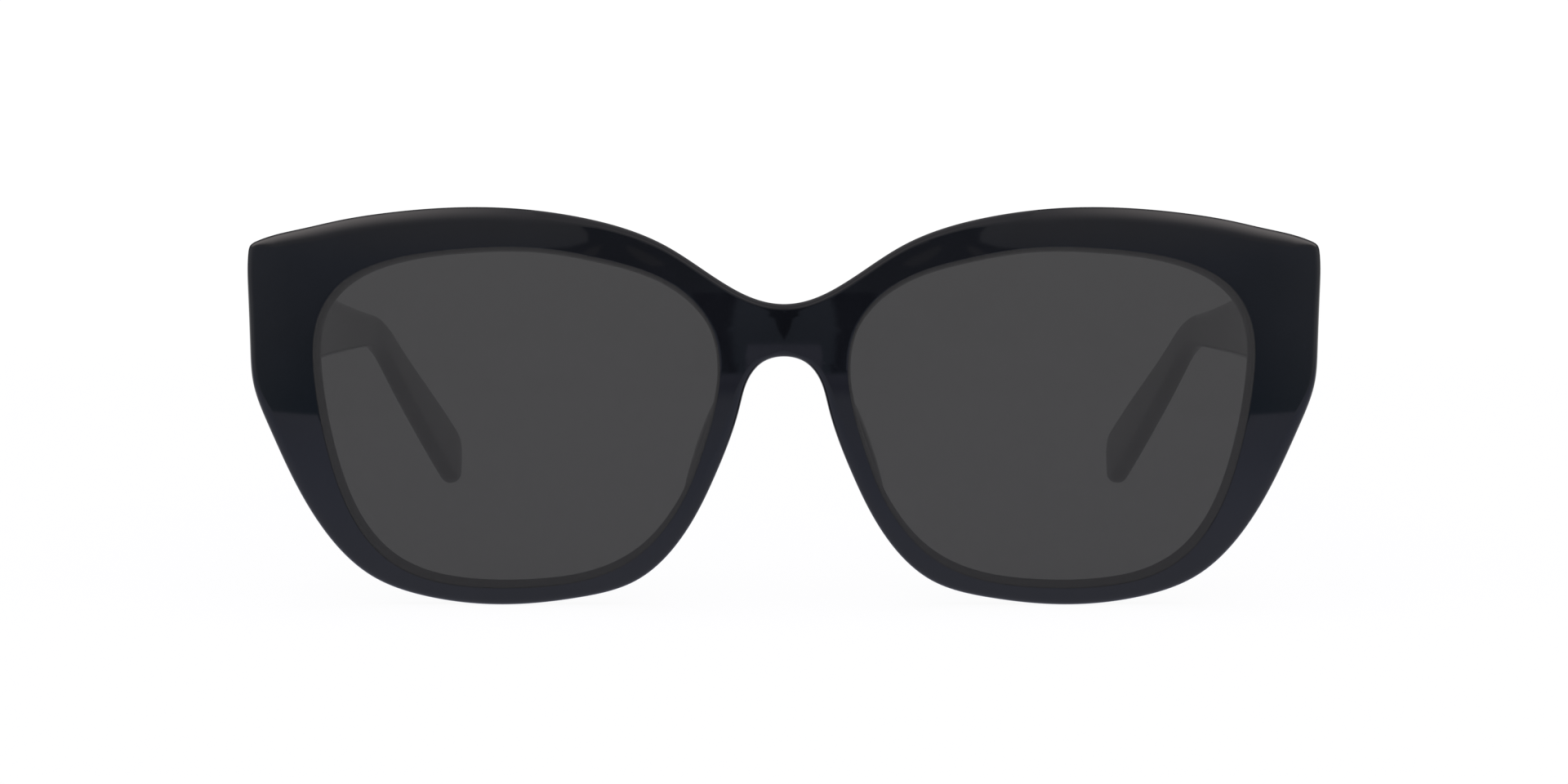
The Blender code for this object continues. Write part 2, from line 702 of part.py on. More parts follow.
# ---------------------------------------------------------------- hinges


def leaf(reach, turn):
    """Plan of one hinge leaf about its bore: round at the barrel, straight out to its plate."""
    angles = np.arange(ROUND_SIDES) * 2 * math.pi / ROUND_SIDES
    outer = []
    for angle in angles:
        x = math.cos(angle)
        y = math.sin(angle)
        if y >= -1e-9:
            outer.append((BARREL_RADIUS * x, BARREL_RADIUS * y))
            continue
        scale = min(BARREL_RADIUS / max(abs(x), 1e-9), reach / abs(y))
        outer.append((scale * x, scale * y))
    corner = math.atan2(reach, BARREL_RADIUS)
    for sign in (-1, 1):
        aim = -math.pi / 2 + sign * (math.pi / 2 - corner)
        nearest = int(np.argmin(np.abs(np.angle(np.exp(1j * (angles - aim))))))
        outer[nearest] = (sign * BARREL_RADIUS, -reach)
    bore = SCREW_RADIUS + SCREW_CLEARANCE
    inner = [(bore * math.cos(angle), bore * math.sin(angle)) for angle in angles]
    cos, sin = math.cos(turn), math.sin(turn)
    return [np.array([(x * cos - y * sin, x * sin + y * cos) for x, y in ring]) for ring in (outer, inner)]


def leaf_solid(level, reach, turn):
    """One leaf with its bore, at its level in the stack of barrels."""
    outer, inner = leaf(reach, turn)
    low = -HINGE_STACK / 2 + level * (BARREL_HEIGHT + BARREL_GAP)
    rings = [
        np.column_stack([ring, np.full(len(ring), z)])
        for ring, z in (
            (outer, low),
            (outer, low + BARREL_HEIGHT),
            (inner, low + BARREL_HEIGHT),
            (inner, low),
        )
    ]
    points, faces = stacked_rings(rings, close=False)
    count = len(outer)
    for side in range(count):
        after = (side + 1) % count
        faces.append((3 * count + side, 3 * count + after, after, side))
    return points, faces


def plate_box(front, clearance=0.0, open_side=0.0):
    """Plate of either hinge half about the axis, grown by a clearance into a pocket."""
    half = HINGE_STACK / 2 + clearance
    if front:
        low = (-BARREL_RADIUS - clearance, -AXIS_TO_PLATE - PLATE_THICKNESS - clearance, -half)
        high = (FRONT_PLATE_WIDTH - BARREL_RADIUS + clearance, -AXIS_TO_PLATE + open_side, half)
        return box(low, high)
    inner = TEMPLE_INNER_X - AXIS_X
    low = (inner - open_side, -BARREL_RADIUS - open_side, -half)
    high = (inner + PLATE_THICKNESS + clearance, TEMPLE_PLATE_LENGTH + clearance, half)
    return box(low, high)


def make_hinge_half(name, material, hinge, mirror, front):
    """Plate with its share of the barrels: three on the front, two on the temple."""
    levels = range(0, BARREL_COUNT, 2) if front else range(1, BARREL_COUNT, 2)
    plate = make_object(name, *plate_box(front), material, hinge, mirror)
    overlap = PLATE_THICKNESS / 2
    reach = (AXIS_TO_PLATE if front else TEMPLE_INNER_X - AXIS_X) + overlap
    turn = 0.0 if front else math.pi / 2
    leaves = join_shapes([leaf_solid(level, reach, turn) for level in levels])
    add_boolean(plate, "UNION", make_object(name + "_leaves", *leaves, None, hinge, mirror))
    return plate


def make_screw(name, material, hinge, mirror):
    """Hinge screw: a low head on the top barrel and a shank through all five."""
    top = HINGE_STACK / 2
    head = top + BARREL_GAP / 2
    profile = [
        (SCREW_RADIUS * SCREW_TIP_SHARE, -top - SCREW_TIP),
        (SCREW_RADIUS, -top),
        (SCREW_RADIUS, head),
        (SCREW_HEAD_RADIUS, head),
        (SCREW_HEAD_RADIUS, head + SCREW_HEAD_HEIGHT * HEAD_SIDE_SHARE),
        (SCREW_HEAD_RADIUS * HEAD_TOP_SHARE, head + SCREW_HEAD_HEIGHT),
    ]
    return make_object(name, *lathe(profile), material, hinge, mirror)


# ---------------------------------------------------------------- assembly


def make_empty(name, location, parent=None):
    empty = bpy.data.objects.new(name, None)
    empty.location = location
    empty.parent = parent
    bpy.context.scene.collection.objects.link(empty)
    return empty


def build():
    clear_scene()
    acetate = make_material("black acetate", (0.010, 0.011, 0.014), 0.12)
    glass = make_material("tinted lens", (0.03, 0.03, 0.03), 0.03, alpha=0.92)
    pad = make_material("pad acetate", (0.010, 0.011, 0.014), 0.2)
    steel = make_material("nickel silver", (0.55, 0.54, 0.52), 0.3, metallic=1.0)
    wire = make_material("wire steel", (0.45, 0.45, 0.46), 0.4, metallic=1.0)

    tips = AXIS_Y + float(tilted(np.concatenate(level_temple()))[:, 1].max())
    origin = make_empty("sunglasses", (0, -(tips + LENS_SETBACK) / 2, -FLOOR_Z))
    front = make_front(acetate)
    front.parent = origin
    for side, sign in (("left", 1), ("right", -1)):
        mirror = sign < 0
        make_lens(f"lens_{side}", glass, mirror).parent = origin
        make_nose_pad(f"nose_pad_{side}", pad, mirror).parent = origin
        place = (sign * AXIS_X, AXIS_Y, HINGE_HEIGHT)
        fixed = make_empty(f"hinge_seat_{side}", place, origin)
        turning = make_empty(f"hinge_axis_{side}", place, origin)

        make_hinge_half(f"front_hinge_{side}", steel, fixed, mirror, front=True)
        pocket = plate_box(True, POCKET_CLEARANCE, open_side=AXIS_TO_PLATE)
        add_boolean(front, "DIFFERENCE", make_object(f"seat_cut_{side}", *pocket, None, fixed, mirror))
        make_screw(f"hinge_screw_{side}", steel, fixed, mirror)

        temple = make_temple(f"temple_{side}", acetate, turning, mirror)
        make_hinge_half(f"temple_hinge_{side}", steel, turning, mirror, front=False)
        recess = plate_box(False, POCKET_CLEARANCE, open_side=BARREL_RADIUS)
        add_boolean(temple, "DIFFERENCE", make_object(f"plate_cut_{side}", *recess, None, turning, mirror))
        make_object(
            f"core_wire_{side}", *wire_shape(0.0, WIRE_START, WIRE_END_MARGIN), wire, turning, mirror
        )
        channel = wire_shape(WIRE_CLEARANCE, -AXIS_TO_PLATE - CUT_OVERRUN, WIRE_END_MARGIN - WIRE_END_GAP)
        add_boolean(temple, "DIFFERENCE", make_object(f"wire_cut_{side}", *channel, None, turning, mirror))


build()
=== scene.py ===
"""Looks of the cat eye sunglasses: polished acetate, tinted lenses and nickel hinges, on a white table.

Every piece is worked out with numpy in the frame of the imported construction: +X is the wearer's left,
the front faces -Y, the temples run towards +Y and +Z is up, in metres. The front is designed flat, as
(x, z) places with z measured from the middle of the lens openings, and is laid on a curved face.
"""

from __future__ import annotations

import json
import logging
import math
from dataclasses import dataclass, field
from enum import Enum
from typing import Any, Sequence

import bpy
import numpy as np
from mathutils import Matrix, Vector

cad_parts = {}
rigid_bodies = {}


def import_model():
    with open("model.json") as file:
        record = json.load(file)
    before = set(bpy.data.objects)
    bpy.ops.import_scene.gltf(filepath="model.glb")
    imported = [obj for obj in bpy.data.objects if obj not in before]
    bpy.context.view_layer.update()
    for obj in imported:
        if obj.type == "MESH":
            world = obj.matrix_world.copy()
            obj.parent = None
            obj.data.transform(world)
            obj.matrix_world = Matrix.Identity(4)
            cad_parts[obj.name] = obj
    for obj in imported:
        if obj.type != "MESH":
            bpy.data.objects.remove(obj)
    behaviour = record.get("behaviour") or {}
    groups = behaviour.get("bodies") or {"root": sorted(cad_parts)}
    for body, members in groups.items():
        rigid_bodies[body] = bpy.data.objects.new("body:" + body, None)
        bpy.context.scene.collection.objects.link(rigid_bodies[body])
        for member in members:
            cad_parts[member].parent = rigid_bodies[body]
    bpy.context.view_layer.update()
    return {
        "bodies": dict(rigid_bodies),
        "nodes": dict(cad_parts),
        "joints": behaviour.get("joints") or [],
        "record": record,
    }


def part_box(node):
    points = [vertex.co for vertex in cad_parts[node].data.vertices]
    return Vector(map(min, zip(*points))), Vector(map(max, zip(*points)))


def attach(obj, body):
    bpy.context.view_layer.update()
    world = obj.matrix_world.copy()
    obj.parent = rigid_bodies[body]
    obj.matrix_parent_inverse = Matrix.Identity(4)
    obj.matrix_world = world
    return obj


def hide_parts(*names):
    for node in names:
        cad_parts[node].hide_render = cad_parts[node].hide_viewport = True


LOG = logging.getLogger("sunglasses")
MM = 0.001
Array = np.ndarray
Triple = tuple[float, float, float]
Colour = Triple
Span = tuple[float, float]
Corner = tuple[float, float]
Box = tuple[Array, Array]
Stop = tuple[float, Colour]


class Side(Enum):
    """Which half of the sunglasses a piece belongs to, and the sign of its x."""

    LEFT = 1
    RIGHT = -1

    @property
    def word(self) -> str:
        """Name of the side as node names end in it."""
        return self.name.lower()


class Slot(Enum):
    """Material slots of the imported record."""

    ACETATE = "acetate"
    LENS = "lens"
    PAD = "pad"
    HINGE = "hinge"
    SCREW = "screw"
    WIRE = "wire"


# ---------------------------------------------------------------- curves


def smooth_loop(knots: Array, steps: int) -> Array:
    """Closed curve of continuous curvature through flat knots.

    Each span is a cubic between two knots; the knots' tangents solve the cyclic system that makes the
    second derivatives on both sides of every knot equal.

    Args:
        knots: (n, 2) places, counter-clockwise.
        steps: points per span.

    Returns:
        (n * steps, 2) places.
    """
    ahead = np.roll(knots, -1, axis=0)
    spans = np.linalg.norm(ahead - knots, axis=1)
    before = np.roll(spans, 1)
    slopes = (ahead - knots) / spans[:, None]
    index = np.arange(len(knots))
    system = np.zeros((len(knots), len(knots)))
    system[index, index] = 2 * (spans + before)
    system[index, index - 1] = spans
    system[index, (index + 1) % len(knots)] = before
    pull = 3 * (spans[:, None] * np.roll(slopes, 1, axis=0) + before[:, None] * slopes)
    tangents = np.linalg.solve(system, pull)
    t = (np.arange(steps) / steps)[None, :, None]
    leave = (spans[:, None] * tangents)[:, None]
    arrive = (spans[:, None] * np.roll(tangents, -1, axis=0))[:, None]
    curve = (2 * t**3 - 3 * t**2 + 1) * knots[:, None] + (3 * t**2 - 2 * t**3) * ahead[:, None]
    curve = curve + (t**3 - 2 * t**2 + t) * leave + (t**3 - t**2) * arrive
    return curve.reshape(-1, 2)


def outward_normals(loop: Array) -> Array:
    """Unit normals of a flat loop: the run between both neighbours of each place, turned by a right angle.

    Args:
        loop: (n, 2) places, counter-clockwise.

    Returns:
        (n, 2) normals that point out of the loop.
    """
    run = np.roll(loop, -1, axis=0) - np.roll(loop, 1, axis=0)
    normals = np.stack([run[:, 1], -run[:, 0]], axis=1)
    return normals / np.linalg.norm(normals, axis=1, keepdims=True)


def smooth_step(low: float, high: float, value: Array) -> Array:
    """0 below low, 1 above high, and the cubic 3t^2 - 2t^3 between."""
    share = np.clip((value - low) / (high - low), 0, 1)
    return share * share * (3 - 2 * share)


# ---------------------------------------------------------------- meshes


@dataclass
class Shell:
    """Points and faces of one closed surface, or of several joined in one piece."""

    points: Array = field(default_factory=lambda: np.zeros((0, 3)))
    faces: list[Array] = field(default_factory=list)

    @classmethod
    def loft(cls, rings: Array, wrap: bool = False) -> Shell:
        """Skin over a (rings, sides, 3) grid, closed round each ring.

        Args:
            rings: the grid; each ring runs so that the faces between two rings point outwards.
            wrap: True joins the last ring to the first, False leaves both ends open.

        Returns:
            The skin as quads.
        """
        count, sides = rings.shape[:2]
        row, side = np.meshgrid(np.arange(count if wrap else count - 1), np.arange(sides), indexing="ij")
        here, after = row * sides, (row + 1) % count * sides
        ahead = (side + 1) % sides
        quads = np.stack([here + side, here + ahead, after + ahead, after + side], -1)
        return cls(rings.reshape(-1, 3), [quads.reshape(-1, 4)])

    def capped(self, sides: int) -> Shell:
        """The same loft closed by a fan of triangles from the middle of its first and of its last ring.

        Args:
            sides: points in a ring.

        Returns:
            The closed loft.
        """
        count = len(self.points)
        first, last = np.arange(sides), np.arange(count - sides, count)
        middle = np.stack([self.points[first].mean(axis=0), self.points[last].mean(axis=0)])
        low = np.stack([np.roll(first, -1), first, np.full(sides, count)], -1)
        high = np.stack([last, np.roll(last, -1), np.full(sides, count + 1)], -1)
        return Shell(np.concatenate([self.points, middle]), [*self.faces, low, high])

    def plus(self, other: Shell) -> Shell:
        """Both shells in one."""
        moved = [face + len(self.points) for face in other.faces]
        return Shell(np.concatenate([self.points, other.points]), [*self.faces, *moved])

    def on(self, side: Side) -> Shell:
        """A shell of the left half, mirrored in x where the side is the right one.

        Args:
            side: the side it is wanted for.

        Returns:
            The shell of that side, its faces still outwards.
        """
        if side is Side.LEFT:
            return self
        return Shell(self.points * [-1, 1, 1], [face[:, ::-1] for face in self.faces])

    def piece(self, name: str, sharp: float = 40.0) -> bpy.types.Object:
        """Makes the shell an object of the scene.

        Args:
            name: name of the object and of its mesh.
            sharp: angle in degrees past which an edge between two faces stays sharp.

        Returns:
            The object, at the origin.
        """
        mesh = bpy.data.meshes.new(name)
        mesh.vertices.add(len(self.points))
        mesh.vertices.foreach_set("co", self.points.astype(np.float32).ravel())
        corners = np.concatenate([face.ravel() for face in self.faces])
        totals = np.concatenate([np.full(len(face), face.shape[1]) for face in self.faces])
        mesh.loops.add(len(corners))
        mesh.loops.foreach_set("vertex_index", corners.astype(np.int32))
        mesh.polygons.add(len(totals))
        mesh.polygons.foreach_set("loop_start", (np.cumsum(totals) - totals).astype(np.int32))
        mesh.update(calc_edges=True)
        mesh.validate()
        mesh.shade_smooth()
        mesh.set_sharp_from_angle(angle=math.radians(sharp))
        item = bpy.data.objects.new(name, mesh)
        bpy.context.scene.collection.objects.link(item)
        return item


def rounded_rectangle(width: Array, height: Array, radius: Array, steps: int) -> Array:
    """Rounded rectangles: each corner is a quarter of a circle about a point one radius inside both sides.

    Args:
        width: width of each section.
        height: height of each section.
        radius: corner radius of each section, held just under half of its shorter side.
        steps: spans in a corner.

    Returns:
        (sections, sides, 2) places, counter-clockwise.
    """
    radius = np.minimum(radius, 0.49 * np.minimum(width, height))[:, None]
    turn = np.concatenate([np.linspace(0, math.pi / 2, steps + 1) + k * math.pi / 2 for k in range(4)])
    corner = np.repeat(np.arange(4), steps + 1)
    sign_x = np.where((corner == 0) | (corner == 3), 1, -1)
    sign_z = np.where(corner < 2, 1, -1)
    x = sign_x * (width[:, None] / 2 - radius) + radius * np.cos(turn)
    z = sign_z * (height[:, None] / 2 - radius) + radius * np.sin(turn)
    return np.stack([x, z], axis=-1)


def lathe(profile: Array, sides: int = 48) -> Shell:
    """Solid of revolution: each (radius, height) of a profile is carried round the Z axis in even turns.

    Args:
        profile: (n, 2) radii and heights, bottom to top.
        sides: turns in a full circle.

    Returns:
        The closed solid.
    """
    turn = np.arange(sides) * 2 * math.pi / sides
    ring = np.stack([np.cos(turn), np.sin(turn)], axis=-1)
    flat = profile[:, None, :1] * ring[None]
    height = np.broadcast_to(profile[:, None, 1:], (len(profile), sides, 1))
    return Shell.loft(np.concatenate([flat, height], axis=-1)).capped(sides)


# ---------------------------------------------------------------- shader nodes


class Wire:
    """An output socket that takes part in arithmetic by adding Math nodes to its graph."""

    def __init__(self, graph: Graph, socket: bpy.types.NodeSocket) -> None:
        """Wraps one socket of the graph."""
        self.graph = graph
        self.socket = socket

    def _math(self, operation: str, first: Any, second: Any) -> Wire:
        """One Math node on two values."""
        return self.graph.node("ShaderNodeMath", {"operation": operation}, {0: first, 1: second})

    def __add__(self, other: Any) -> Wire:
        """Sum."""
        return self._math("ADD", self, other)

    __radd__ = __add__

    def __mul__(self, other: Any) -> Wire:
        """Product."""
        return self._math("MULTIPLY", self, other)

    __rmul__ = __mul__

    def __sub__(self, other: Any) -> Wire:
        """Difference."""
        return self._math("SUBTRACT", self, other)

    def __rsub__(self, other: Any) -> Wire:
        """Difference from a plain value."""
        return self._math("SUBTRACT", other, self)

    def __truediv__(self, other: Any) -> Wire:
        """Quotient."""
        return self._math("DIVIDE", self, other)

    def __rtruediv__(self, other: Any) -> Wire:
        """Quotient of a plain value."""
        return self._math("DIVIDE", other, self)

    def __abs__(self) -> Wire:
        """Distance from zero."""
        return self._math("ABSOLUTE", self, 0.0)

    def rise(self, low: Any, high: Any) -> Wire:
        """0 below low, 1 above high, and a smooth step between."""
        return self.graph.node(
            "ShaderNodeMapRange",
            {"interpolation_type": "SMOOTHSTEP"},
            {"Value": self, "From Min": low, "From Max": high},
        )


class Graph:
    """The nodes of one material or world, added by type."""

    def __init__(self, owner: bpy.types.Material | bpy.types.World) -> None:
        """Starts an empty node tree on its owner."""
        owner.use_nodes = True
        self.in_world = isinstance(owner, bpy.types.World)
        self.tree = owner.node_tree
        self.tree.nodes.clear()

    def node(self, kind: str, settings: dict[str, Any], inputs: dict[Any, Any], output: Any = 0) -> Wire:
        """Adds a node.

        Args:
            kind: the node's type.
            settings: properties set first; "stops" holds a colour ramp's (place, colour) pairs.
            inputs: values or wires by socket name or number.
            output: name or number of the output that is returned.

        Returns:
            The chosen output.
        """
        made = self.tree.nodes.new(kind)
        for name, value in settings.items():
            if name == "stops":
                self._ramp(made, value)
            else:
                setattr(made, name, value)
        for name, value in inputs.items():
            if isinstance(value, Wire):
                self.tree.links.new(value.socket, made.inputs[name])
            else:
                made.inputs[name].default_value = value
        return Wire(self, made.outputs[output] if made.outputs else None)

    @staticmethod
    def _ramp(made: bpy.types.Node, stops: Sequence[Stop]) -> None:
        """Sets a ramp's stops.

        Args:
            made: the ramp's node.
            stops: (place, colour) pairs in rising order.
        """
        elements = made.color_ramp.elements
        while len(elements) < len(stops):
            elements.new(1.0)
        for element, (place, colour) in zip(elements, stops, strict=True):
            element.position = place
            element.color = (*colour, 1.0)

    def noise(self, scale: float, detail: float, where: Wire | None = None, rough: float = 0.55) -> Wire:
        """Noise of so many cells per metre on the piece's own coordinates."""
        sockets = {"Vector": where or self.place(), "Scale": scale, "Detail": detail, "Roughness": rough}
        return self.node("ShaderNodeTexNoise", {}, sockets)

    def place(self, stretch: Triple = (1.0, 1.0, 1.0)) -> Wire:
        """Object coordinates, stretched along the axes."""
        at = self.node("ShaderNodeTexCoord", {}, {}, "Object")
        return self.node("ShaderNodeMapping", {}, {"Vector": at, "Scale": stretch})

    def bump(self, height: Wire, depth: float) -> Wire:
        """Normal of a surface raised by up to `depth` metres where the height is 1."""
        sockets = {"Strength": 1.0, "Distance": depth, "Height": height}
        return self.node("ShaderNodeBump", {}, sockets, "Normal")

    def surface(self, shader: Wire) -> None:
        """Sends a shader to the output."""
        self.node(f"ShaderNodeOutput{'World' if self.in_world else 'Material'}", {}, {"Surface": shader})

    def skin(self, sockets: dict[str, Any]) -> None:
        """Sends a Principled shader with these sockets to the output."""
        self.surface(self.node("ShaderNodeBsdfPrincipled", {}, sockets))

    def glow(self, colour: Any, strength: float = 1.0) -> Wire:
        """Plain light of one colour."""
        return self.node("ShaderNodeEmission", {}, {"Color": colour, "Strength": strength})

    def ramp(self, share: Wire, *stops: Stop) -> Wire:
        """Colour at a share between stops."""
        return self.node("ShaderNodeValToRGB", {"stops": stops}, {"Fac": share})

    def blend(self, share: Wire, first: Any, second: Any) -> Wire:
        """Colour between two colours; a plain one is given as three numbers."""
        ends = [end if isinstance(end, Wire) else (*end, 1.0) for end in (first, second)]
        return self.node("ShaderNodeMix", {"data_type": "RGBA"}, {"Factor": share, 6: ends[0], 7: ends[1]}, 2)

    def mix(self, share: Wire, first: Wire, second: Wire) -> Wire:
        """Shader between two shaders."""
        return self.node("ShaderNodeMixShader", {}, {0: share, 1: first, 2: second})

    def ray(self, kind: str) -> Wire:
        """1 for light paths of one kind."""
        return self.node("ShaderNodeLightPath", {}, {}, f"Is {kind} Ray")


@dataclass(frozen=True)
class Acetate:
    """Hand-polished black acetate: a deep bluish black under a clear, very slightly wavy surface."""

    name: str = "polished black acetate"
    deep: Colour = (0.0030, 0.0033, 0.0046)
    light: Colour = (0.0044, 0.0048, 0.0066)
    clouds: float = 90.0
    gloss: float = 0.03
    haze: float = 0.03
    buffing: float = 1400.0
    waves: float = 160.0
    wave_depth: float = 0.004 * MM
    refraction: float = 1.49

    def make(self) -> bpy.types.Material:
        """Clouded pigment, buffing haze and the soft waves of a polishing wheel.

        Returns:
            The material.
        """
        material = bpy.data.materials.new(self.name)
        graph = Graph(material)
        cloud = graph.noise(self.clouds, 4.0)
        graph.skin(
            {
                "Base Color": graph.ramp(cloud, (0.3, self.deep), (0.7, self.light)),
                "Roughness": self.gloss + self.haze * graph.noise(self.buffing, 3.0),
                "IOR": self.refraction,
                "Normal": graph.bump(graph.noise(self.waves, 1.0), self.wave_depth),
            }
        )
        return material


@dataclass(frozen=True)
class TintedLens:
    """Dark grey sun lens: a clear polished surface over a tint that lets a little light through."""

    name: str = "dark grey sun lens"
    tint: Colour = (0.0325, 0.0325, 0.0325)
    tint_swing: float = 1.12
    cover: float = 0.82
    shine: float = 0.05
    gloss: float = 0.02
    haze: float = 0.012
    polishing: float = 700.0
    refraction: float = 1.5

    def make(self) -> bpy.types.Material:
        """A constant cover and a faint polishing haze.

        Returns:
            The material.
        """
        material = bpy.data.materials.new(self.name)
        graph = Graph(material)
        haze = graph.noise(self.polishing, 3.0)
        pale = tuple(self.tint_swing * part for part in self.tint)
        graph.skin(
            {
                "Base Color": graph.ramp(haze, (0.0, self.tint), (1.0, pale)),
                "Roughness": self.gloss + self.haze * haze,
                "IOR": self.refraction,
                "Specular IOR Level": self.shine,
                "Alpha": self.cover,
            }
        )
        return material


@dataclass(frozen=True)
class Metal:
    """A bright metal with fine lines from the drawing die, the tumbler or the lathe."""

    name: str
    colour: Colour
    roughness: float
    lines: Triple
    depth: float = 0.002 * MM
    line_roughness: float = 0.14
    stains: float = 600.0
    dullness: float = 0.72

    def make(self) -> bpy.types.Material:
        """Lines that run across the axis with the largest stretch, over faint stains.

        Returns:
            The material.
        """
        material = bpy.data.materials.new(self.name)
        graph = Graph(material)
        line = graph.noise(1.0, 3.0, graph.place(self.lines))
        dull = tuple(self.dullness * part for part in self.colour)
        graph.skin(
            {
                "Base Color": graph.ramp(graph.noise(self.stains, 3.0), (0.25, dull), (0.6, self.colour)),
                "Metallic": 1.0,
                "Roughness": self.roughness + self.line_roughness * line,
                "Normal": graph.bump(line, self.depth),
            }
        )
        return material


@dataclass
class Finishes:
    """One material for each slot of the record."""

    made: dict[Slot, bpy.types.Material] = field(default_factory=dict)

    def __post_init__(self) -> None:
        """Makes every finish once."""
        self.made = {
            Slot.ACETATE: Acetate().make(),
            Slot.PAD: Acetate(name="polished pad acetate", gloss=0.12).make(),
            Slot.LENS: TintedLens().make(),
            Slot.HINGE: Metal(
                "tumbled nickel silver", (0.62, 0.60, 0.56), 0.20, (900.0, 900.0, 5200.0)
            ).make(),
            Slot.SCREW: Metal("turned steel", (0.68, 0.68, 0.69), 0.16, (2500.0, 2500.0, 9000.0)).make(),
            Slot.WIRE: Metal("drawn steel wire", (0.45, 0.45, 0.46), 0.28, (6000.0, 300.0, 6000.0)).make(),
        }

    def dress(self, item: bpy.types.Object, slot: Slot) -> None:
        """Gives a piece or a node the finish of its slot.

        Args:
            item: the piece or the node.
            slot: the slot.
        """
        item.data.materials.clear()
        item.data.materials.append(self.made[slot])


# ---------------------------------------------------------------- front


@dataclass(frozen=True)
class Face:
    """Curved face with one peak before each eye, and where it lies in the row frame."""

    eye_x: float
    peak_y: float
    eye_z: float
    radius: float = 132.0 * MM
    bridge_rounding: float = 10.0 * MM

    def place(self, flat: Array, depth: float | Array) -> Array:
        """Lays flat places on the face, or behind it along its normal.

        With r = sqrt(x^2 + b^2) the face lies ((r - e)^2 + z^2) / 2R behind its peaks, so its normal
        leans by (r - e) x / rR sideways and z / R upwards.

        Args:
            flat: (..., 2) places.
            depth: distance behind the face, one for all or one for each place.

        Returns:
            (..., 3) points in the shared frame.
        """
        x, z = flat[..., 0], flat[..., 1]
        reach = np.sqrt(np.square(x) + self.bridge_rounding**2)
        lean_x = (reach - self.eye_x) * x / reach / self.radius
        lean_z = z / self.radius
        behind = (np.square(reach - self.eye_x) + np.square(z)) / (2 * self.radius)
        normal = np.stack([-lean_x, np.ones_like(lean_x), -lean_z], axis=-1)
        normal = normal / np.linalg.norm(normal, axis=-1, keepdims=True)
        points = np.stack([x, self.peak_y + behind, self.eye_z + z], axis=-1)
        return points + np.asarray(depth)[..., None] * normal


